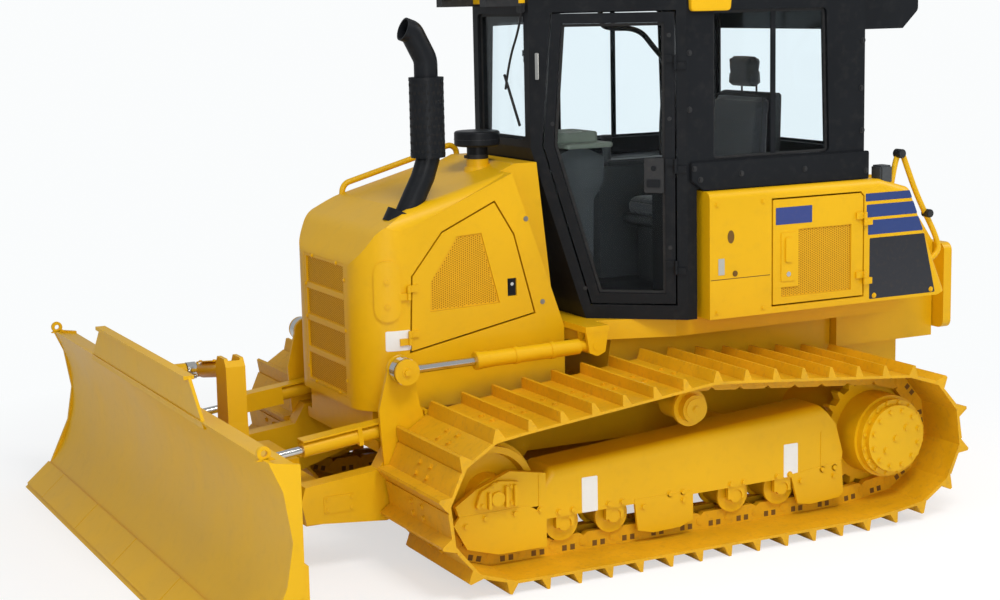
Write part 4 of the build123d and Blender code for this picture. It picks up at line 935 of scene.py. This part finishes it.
quarter = round_corners([(-0.560, 1.690), (-0.560, 2.355), (-1.180, 2.355), (-1.200, 1.690)], 0.025)
ledge = round_corners([(-1.420, 1.5515), (-0.500, 1.5515), (-0.432, 1.600), (-0.432, 1.684), (-1.420, 1.684)], 0.012)
wall, wall_edge, ledge_face = 0.7194, 0.7402, 0.756
seal("windscreen_seal", rounded(-0.235, 0.235, 1.785, 2.355, 0.025), on_front(0.1085), (0.006, 0, 0), width=0.013)
seal("rear_screen_seal", rounded(-0.560, 0.560, 1.690, 2.355, 0.025), on_front(-1.4405), (-0.006, 0, 0))
for side, sign in both_sides:
    slant = Vector((door_out.x, sign * door_out.y, 0))
    door_body = f"cab_door_{side}"

    def door_plate(name, lift, depth, outline, finish_name, bevel, body=door_body):
        plate(f"{name}_{side}", [outline], on_door(sign, lift), slant * depth, finish_name, body, bevel)

    seal(f"door_seal_{side}", door_pane, on_door(sign, -0.0195), slant * 0.006, door_body)
    seal(f"quarter_seal_{side}", quarter, on_side(sign * wall), (0, sign * 0.006, 0))
    bolts = [((x, sign * y, z), (0, sign, 0)) for x, y, z in
             ((-0.434, 0.740, 2.170), (-0.434, 0.740, 1.919), (-0.448, ledge_face, 1.655),
              (-0.480, ledge_face, 1.604), (-1.388, 0.740, 2.198), (-1.381, 0.740, 1.977), (-1.388, 0.740, 1.780),
              (-1.400, ledge_face, 1.591), (-0.700, ledge_face, 1.620), (-1.050, ledge_face, 1.620))]
    heads(f"cab_bolts_{side}", bolts, "black_plastic", washer=0.014)
    door_plate("door_handle_box", -0.0005, 0.020, rounded(0.102, 0.192, 1.548, 1.705, 0.010), "black_plastic", 0.004)
    door_plate("door_handle", 0.019, 0.008, rounded(0.118, 0.180, 1.575, 1.610, 0.008), "black_paint", 0.002)
    heads(f"door_lock_{side}", [(on_door(sign, 0.0195)(0.148, 1.660), slant)], "black_paint", door_body,
          sides=18, radius=0.010, height=0.003, washer=0.013)
    door_plate("pillar_latch", -0.0005, 0.014, rounded(0.667, 0.684, 2.060, 2.180, 0.005), "chrome_rod", 0.002,
               "machine")
    heads(f"door_bolts_{side}", [(on_door(sign, 0)(s, z), slant) for s, z in
                                 ((0.078, 2.250), (0.078, 1.880), (0.078, 1.300), (0.470, 1.110), (0.610, 1.860))],
          "black_plastic", door_body, radius=0.007, height=0.005, washer=0.010)
side_plates(
    ("quarter_divider", wall, 0.008, "black_paint", "machine", 0.002, rectangle(-0.907, -0.879, 1.700, 2.345)),
    ("sill_ledge", wall_edge, 0.016, "black_paint", "machine", 0.004, ledge))
pipe("wiper_arm", [(0.136, 0.234, 2.372), (0.140, 0.215, 2.290), (0.140, 0.107, 2.145), (0.137, 0.060, 2.010)],
     0.0055, "black_plastic")
plate("wiper_blade", [[(0.045, 2.075), (0.058, 2.080), (0.205, 1.850), (0.192, 1.845)]], on_front(0.1335),
      (0.008, 0, 0), "rubber", bevel=0.001)
bm = bmesh.new()
add_box(bm, (0.1305, 0.205, 2.358), (0.152, 0.262, 2.405))
close_piece("wiper_motor", bm, "black_plastic", bevel=0.006)
pipe("inner_rail", [(-0.655, -0.450, 2.501), (-0.660, -0.450, 2.300), (-0.700, -0.450, 2.262),
                    (-0.890, -0.450, 2.262), (-0.985, -0.450, 2.150), (-1.056, -0.450, 2.083),
                    (-1.010, -0.445, 1.736), (-1.000, -0.410, 1.580)], 0.014, "black_plastic")
bm = bmesh.new()
add_slab(bm, rounded(-0.360, -0.100, -0.205, 0.205, 0.03), on_top(1.725), (0, 0, 0.022))
add_slab(bm, rounded(-0.320, -0.130, -0.120, 0.120, 0.02), on_top(1.746), (0, 0, 0.05))
close_piece("dash_tray", bm, "tray_plastic", bevel=0.005)
for side, sign in both_sides:
    plate(f"arm_pad_{side}", [rounded(-1.10, -0.62, 0.302, 0.418, 0.02)], lambda x, y: Vector((x, sign * y, 1.5805)),
          (0, 0, 0.030), "seat_cloth", bevel=0.008)
    bm = bmesh.new()
    add_drum(bm, (-0.640, sign * 0.360, 1.695), (-0.640, sign * 0.360, 1.735), 0.026, 0.030)
    close_piece(f"lever_knob_{side}", bm, "black_plastic", bevel=0.004)

# %% Dress the roof and the lamps
roof = nodes["cab_roof"].data
roof.materials.clear()
roof.materials.append(paint["yellow_paint"])
roof.materials.append(paint["black_paint"])
for polygon in roof.polygons:
    polygon.material_index = 1 if polygon.center.x < -1.461 else 0
lamp_back = 0.3399
for side, sign in both_sides:
    rim, glass = ([(sign * y, z) for y, z in rounded(*area, radius)] for area, radius in
                  (((0.180, 0.280, 2.446, 2.543), 0.014), ((0.190, 0.270, 2.456, 2.533), 0.012)))
    plate(f"lamp_mirror_{side}", [glass], on_front(lamp_back), (0.0012, 0, 0), "chrome_rod", smooth=False)
    bm = bmesh.new()
    add_frame(bm, rim, glass, on_front(lamp_back), (0.010, 0, 0))
    close_piece(f"lamp_rim_{side}", bm, "black_plastic", bevel=0.0015)
    plate(f"lamp_lens_{side}", [grow(glass, -0.0004)], on_front(0.3445), (0.003, 0, 0), "lamp_lens")
bm = bmesh.new()
for y in (-0.52, 0.32):
    for step in range(6):
        z = 2.285 + step * 0.034
        add_box(bm, (-1.7915, y, z), (-1.7885, y + 0.20, z + 0.012))
close_piece("air_unit_slats", bm, "black_plastic")
bm = bmesh.new()
add_box(bm, (0.1305, -0.262, 2.400), (0.168, 0.262, 2.4995))
for sign in (1, -1):
    add_slab(bm, round_corners([(-0.655, 2.4995), (-0.640, 2.352), (-0.432, 2.352), (-0.425, 2.4995)], 0.02),
             on_side(sign * wall_edge), (0, sign * 0.022, 0))
close_piece("roof_lugs", bm, bevel=0.003)
heads("roof_bolts", [((x, sign * 0.765, 2.535), (0, sign, 0)) for x in (-0.52, -0.90, -1.32) for sign in (1, -1)],
      radius=0.010, washer=0.015)
print("cab dressed")

# %% [markdown]
# ## Side bodies and rear
# The rear part of each side body is dark blue with three stripes above, cut off along the body's own
# slanted edge. The service door has its mesh, a latch and a blank plate. A short yellow rail follows the
# slanted edge, and the rear grille gets its mesh.

# %% Dress the side bodies
body_side, body_tail = 0.800, -1.785


def slant_edge(z):
    """Where the body's slanted rear edge lies at a height, less a margin."""
    return max(-1.635 - (1.500 - z) * 0.205 / 0.480 + 0.016, body_tail)


l_mesh = [(-0.890, 1.040), (-0.890, 1.085), (-0.985, 1.085), (-0.985, 1.350), (-1.285, 1.350), (-1.285, 1.040)]
key_oval = [(-0.613 + 0.6 * (x + 0.613), z) for x, z in circle(-0.613, 1.341, 0.030)]
rail = [(-1.555, 1.515), (-1.580, 1.650), (-1.615, 1.668), (-1.650, 1.585), (-1.715, 1.440), (-1.835, 1.240),
        (-1.850, 1.160), (-1.775, 1.130)]
for side, sign in both_sides:
    for number, (low, high) in enumerate(((1.450, 1.487), (1.374, 1.434), (1.291, 1.360), (0.985, 1.275))):
        front = -1.3665 - 0.12 * (1.487 - high)
        outline = [(front, low), (front, high), (slant_edge(high), high), (slant_edge(low), low)]
        stripe = "decal_black" if number == 3 else "navy_stripe"
        plate(f"stripe_{number + 1}_{side}", [round_corners(outline, 0.006)], on_side(sign * body_side),
              (0, sign * 0.0008, 0), stripe, smooth=False)
    perforated(f"rear_door_mesh_{side}", grow(l_mesh, -0.0005), on_side(sign * 0.7922), (0, sign, 0), side_turn,
               f"rear_door_{side}", 0.0105, 0.0036)
    pipe(f"rear_rail_{side}", [(x, sign * 0.750, z) for x, z in rail], 0.014)
    bm = bmesh.new()
    for x, z, radius in ((-1.593, 1.660, 0.022), (-1.766, 1.364, 0.020)):
        add_drum(bm, (x, sign * 0.735, z), (x, sign * 0.785, z), radius)
    close_piece(f"rail_fittings_{side}", bm, "black_plastic", bevel=0.003)
    bm = bmesh.new()
    near, far = sorted((sign * 0.700, sign * 0.780))
    add_box(bm, (-1.540, near, 1.525), (-1.470, far, 1.610))
    close_piece(f"rear_socket_{side}", bm, "grey_plastic", bevel=0.008)
    near, far = sorted((sign * 0.0255, sign * 0.5095))
    perforated(f"rear_grille_mesh_{side}", rectangle(near, far, 0.7905, 1.1295), on_front(-2.0802), (-1, 0, 0),
               front_turn, "rear_grille", 0.0125, 0.0045)
side_plates(
    ("door_blank_plate", body_side, 0.0012, "blue_plate", "rear_door_{}", 0,
     rounded(-1.060, -0.858, 1.376, 1.455, 0.004)),
    ("door_latch_plate", 0.7999, 0.004, "yellow_paint", "rear_door_{}", 0.001,
     rounded(-0.968, -0.886, 1.112, 1.338, 0.008)),
    ("door_paddle", 0.8035, 0.008, "yellow_paint", "rear_door_{}", 0.002,
     rounded(-0.948, -0.906, 1.200, 1.316, 0.012)),
    # The key hole and the seam line are thin marks in the painted hole shade: shade inside the keyhole and in the
    # panel gap.
    ("key_hole", body_side, 0.001, "hole_dark", "machine", 0, key_oval),
    ("body_blank_plate", body_side, 0.0015, "grey_plate", "machine", 0,
     rounded(-0.578, -0.545, 1.170, 1.245, 0.003)),
    ("body_seam", body_side, 0.0005, "hole_dark", "machine", 0, rectangle(-0.826, -0.504, 1.1480, 1.1515)))
side_heads(
    ("door_key", 0.8035, "chrome_rod", "rear_door_{}", (16, 0.009, 0.003, 0.012), (-0.927, 1.145)),
    # The lock is a round face coloured with the painted hole shade, a darkened copy of the yellow.
    ("body_lock", body_side, "hole_dark", "machine", (20, 0.009, 0.004, 0.014), (-0.635, 1.172)),
    ("body_bolts", body_side, "yellow_paint", "machine", (6, 0.008, 0.006, 0.013), (-0.540, 1.490), (-0.790, 1.490),
     (-0.540, 1.000), (-0.790, 1.000), (-1.420, 1.000), (-1.760, 1.000)))
heads("rear_grille_bolts", [((-2.090, y, z), (-1, 0, 0)) for y in (-0.535, 0, 0.535) for z in (0.775, 0.960, 1.145)],
      body="rear_grille", height=0.004)
print("rear dressed")

# %% [markdown]
# ## Blade and linkage
# The cutting edge is bolted on in plates along the blade's straight lower edge. The lifting eyes stand at
# the top corners, and a guard lies over the tilt cylinder. Pipes run along the lift cylinders' inner sides.

# %% Dress the blade
edge_start, edge_end = Vector((1.960, 0, 0.118)), Vector((2.095, 0, 0.0))
edge_line = (edge_end - edge_start).normalized()
edge_out = Vector((-edge_line.z, 0, edge_line.x))


def on_edge(u, y):
    return edge_start + edge_line * u + Vector((0, y, 0))


spans = ((-1.6240, -1.3000), (-1.2970, -0.6510), (-0.6480, 0.0), (0.0030, 0.6480), (0.6510, 1.2970), (1.3000, 1.6240))
plate("cutting_edges", [rectangle(0.004, 0.160, low, high) for low, high in spans], on_edge, edge_out * 0.009,
      body="blade", bevel=0.0015)
bm = bmesh.new()
for y in (-1.560, 1.540):
    add_frame(bm, circle(1.9030, 0.8260, 0.027, 28), circle(1.9030, 0.8260, 0.012, 28), on_side(y), (0, 0.020, 0))
    add_slab(bm, [(1.858, 0.798), (1.934, 0.798), (1.922, 0.806), (1.876, 0.812)], on_side(y), (0, 0.020, 0))
close_piece("lifting_eyes", bm, body="blade", bevel=0.002)
bm = bmesh.new()
for y in (-0.60, -0.20, 0.20, 0.60):
    add_slab(bm, [(1.8930, 0.800), (1.8930, 0.930), (1.8560, 0.800)], on_side(y), (0, 0.012, 0))
close_piece("guard_ribs", bm, body="blade", bevel=0.001)
tilt_start, tilt_line = Vector((1.503, 0, 0.830)), Vector((0, -0.98361, -0.18033))
tilt_up = Vector((0, -0.18033, 0.98361))


def on_tilt(lift):
    return lambda x, t: tilt_start + Vector((x, 0, 0)) + tilt_line * t + tilt_up * lift


guard_low, guard_thick = 0.037, 0.005
bm = bmesh.new()
add_slab(bm, rounded(-0.012, 0.040, 0.125, 0.385, 0.010), on_tilt(guard_low), tilt_up * guard_thick)
for t in (0.160, 0.340):
    add_slab(bm, rectangle(-0.008, 0.020, t, t + 0.018), on_tilt(guard_low - 0.012), tilt_up * 0.013)
close_piece("tilt_guard", bm, body="tilt_barrel", bevel=0.0015)
heads("tilt_guard_bolts", [(on_tilt(guard_low + guard_thick)(0.024, t), tilt_up) for t in (0.150, 0.360)],
      body="tilt_barrel", radius=0.007, height=0.005, washer=0.010)

# %% Dress the lift cylinders and the frame
lift_line, clamp_half = Vector((0.930, 0, -0.020)).normalized(), Vector((0.011, 0.016, 0.014))
for side, sign in both_sides:
    start, inward = Vector((0, sign * 0.605, 0.880)), Vector((0, -sign, 0))
    body = f"lift_barrel_{side}"
    pipe(f"lift_pipe_{side}", [start + lift_line * t + inward * aside for t, aside in
                               ((0.070, 0.030), (0.075, 0.050), (0.130, 0.052), (0.470, 0.052), (0.540, 0.050),
                                (0.545, 0.030))], 0.008, body=body)
    bm = bmesh.new()
    for t in (0.200, 0.380):
        add_drum(bm, start + lift_line * t, start + lift_line * (t + 0.024), 0.0385)
        middle = start + lift_line * (t + 0.012) + inward * 0.046
        add_box(bm, middle - clamp_half, middle + clamp_half)
    add_drum(bm, start + lift_line * 0.566, start + lift_line * 0.592, 0.0400)
    close_piece(f"lift_clamps_{side}", bm, body=body, bevel=0.002)
side_heads(
    ("lift_pin_cap", 0.646, "yellow_paint", "c_frame", (6, 0.016, 0.010, 0.024), (0.930, 0.860)),
    ("frame_nose_bolts", 0.558, "yellow_paint", "c_frame", (6, 0.011, 0.009, 0.017),
     *((x, z) for z in (0.500, 0.440) for x in (0.460, 0.340))),
    ("frame_cover_bolts", 0.5618, "yellow_paint", "c_frame", (6, 0.007, 0.005, 0.010),
     *((x, z) for x in (1.172, 1.283) for z in (0.283, 0.330))))
side_plates(("frame_cover", 0.5578, 0.004, "yellow_paint", "c_frame", 0.001,
             rounded(1.155, 1.300, 0.268, 0.345, 0.008)))
print("blade dressed")

# %% [markdown]
# ## The padded seat
# The cushion, the backrest and the headrest are real padding: each starts as a slightly smaller block, is
# remeshed finely, and is blown up a little as cloth, so that its middle crowns and its sides pull in. The
# movement is capped, the result is kept as a plain mesh, and piping is added along the seams.

# %% Build the seat
def soft_pad(name, outline, half, cap, last_frame=20):
    bm = bmesh.new()
    add_slab(bm, outline, on_side(-half), (0, 2 * half, 0))
    bmesh.ops.recalc_face_normals(bm, faces=bm.faces)
    bmesh.ops.bevel(bm, geom=list(bm.edges), offset=0.016, segments=3, affect="EDGES", clamp_overlap=True)
    mesh = bpy.data.meshes.new(name + "_start")
    bm.to_mesh(mesh)
    bm.free()
    holder = bpy.data.objects.new(name + "_start", mesh)
    scene.collection.objects.link(holder)
    remesh = holder.modifiers.new("even_mesh", "REMESH")
    remesh.mode = "VOXEL"
    remesh.voxel_size = 0.006
    even = bpy.data.meshes.new_from_object(holder.evaluated_get(bpy.context.evaluated_depsgraph_get()))
    bpy.data.objects.remove(holder)
    holder = bpy.data.objects.new(name + "_cloth", even)
    scene.collection.objects.link(holder)
    soft = holder.modifiers.new("padding", "CLOTH")
    soft.settings.use_pressure = True
    soft.settings.uniform_pressure_force = 4
    soft.settings.effector_weights.gravity = 0
    soft.settings.tension_stiffness = soft.settings.compression_stiffness = 40
    soft.point_cache.frame_start, soft.point_cache.frame_end = 1, last_frame
    for number in range(1, last_frame + 1):
        scene.frame_set(number)
    blown = bpy.data.meshes.new_from_object(holder.evaluated_get(bpy.context.evaluated_depsgraph_get()))
    for before, after in zip(even.vertices, blown.vertices):
        move = after.co - before.co
        if move.length > cap:
            move *= cap / move.length
        before.co = before.co + move
    bpy.data.objects.remove(holder)
    scene.frame_set(1)
    even.name = name
    even.materials.clear()
    even.materials.append(paint["seat_cloth"])
    even.shade_smooth()
    pad = place_piece(name, even, "machine")


soft_pad("seat_cushion", [(-0.662, 1.355), (-0.662, 1.420), (-0.710, 1.428), (-1.105, 1.412), (-1.105, 1.352)],
         0.226, 0.012)
soft_pad("seat_back", [(-1.140, 1.440), (-1.188, 1.925), (-1.238, 1.932), (-1.215, 1.440)], 0.222, 0.012)
soft_pad("head_rest", [(-1.197, 1.965), (-1.204, 2.122), (-1.252, 2.122), (-1.256, 1.965)], 0.112, 0.010)
bm = bmesh.new()
add_box(bm, (-1.200, -0.200, 1.020), (-0.720, 0.200, 1.300))
add_slab(bm, round_corners([(-0.655, 1.300), (-0.655, 1.352), (-1.205, 1.350), (-1.238, 1.935), (-1.288, 1.945),
                            (-1.270, 1.300)], 0.02), on_side(-0.238), (0, 0.476, 0))
for y in (-0.070, 0.058):
    add_box(bm, (-1.262, y, 1.930), (-1.250, y + 0.012, 1.990))
seat_frame = close_piece("seat_frame", bm, "seat_shell", bevel=0.006)
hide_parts("seat")
for name, route in (
        ("cushion_piping", [(-0.664, -0.222, 1.418), (-0.664, 0.222, 1.418), (-0.690, 0.231, 1.424),
                            (-1.090, 0.231, 1.412)]),
        ("back_piping", [(-1.146, -0.224, 1.470), (-1.190, -0.224, 1.905), (-1.196, -0.190, 1.934),
                         (-1.196, 0.190, 1.934), (-1.190, 0.224, 1.905), (-1.146, 0.224, 1.470)])):
    pipe(name, route, 0.0028, "seat_shell")
print("seat built; triangles added:", sum(triangles_added.values()), "most:",
      sorted(triangles_added.items(), key=lambda item: -item[1])[:4])
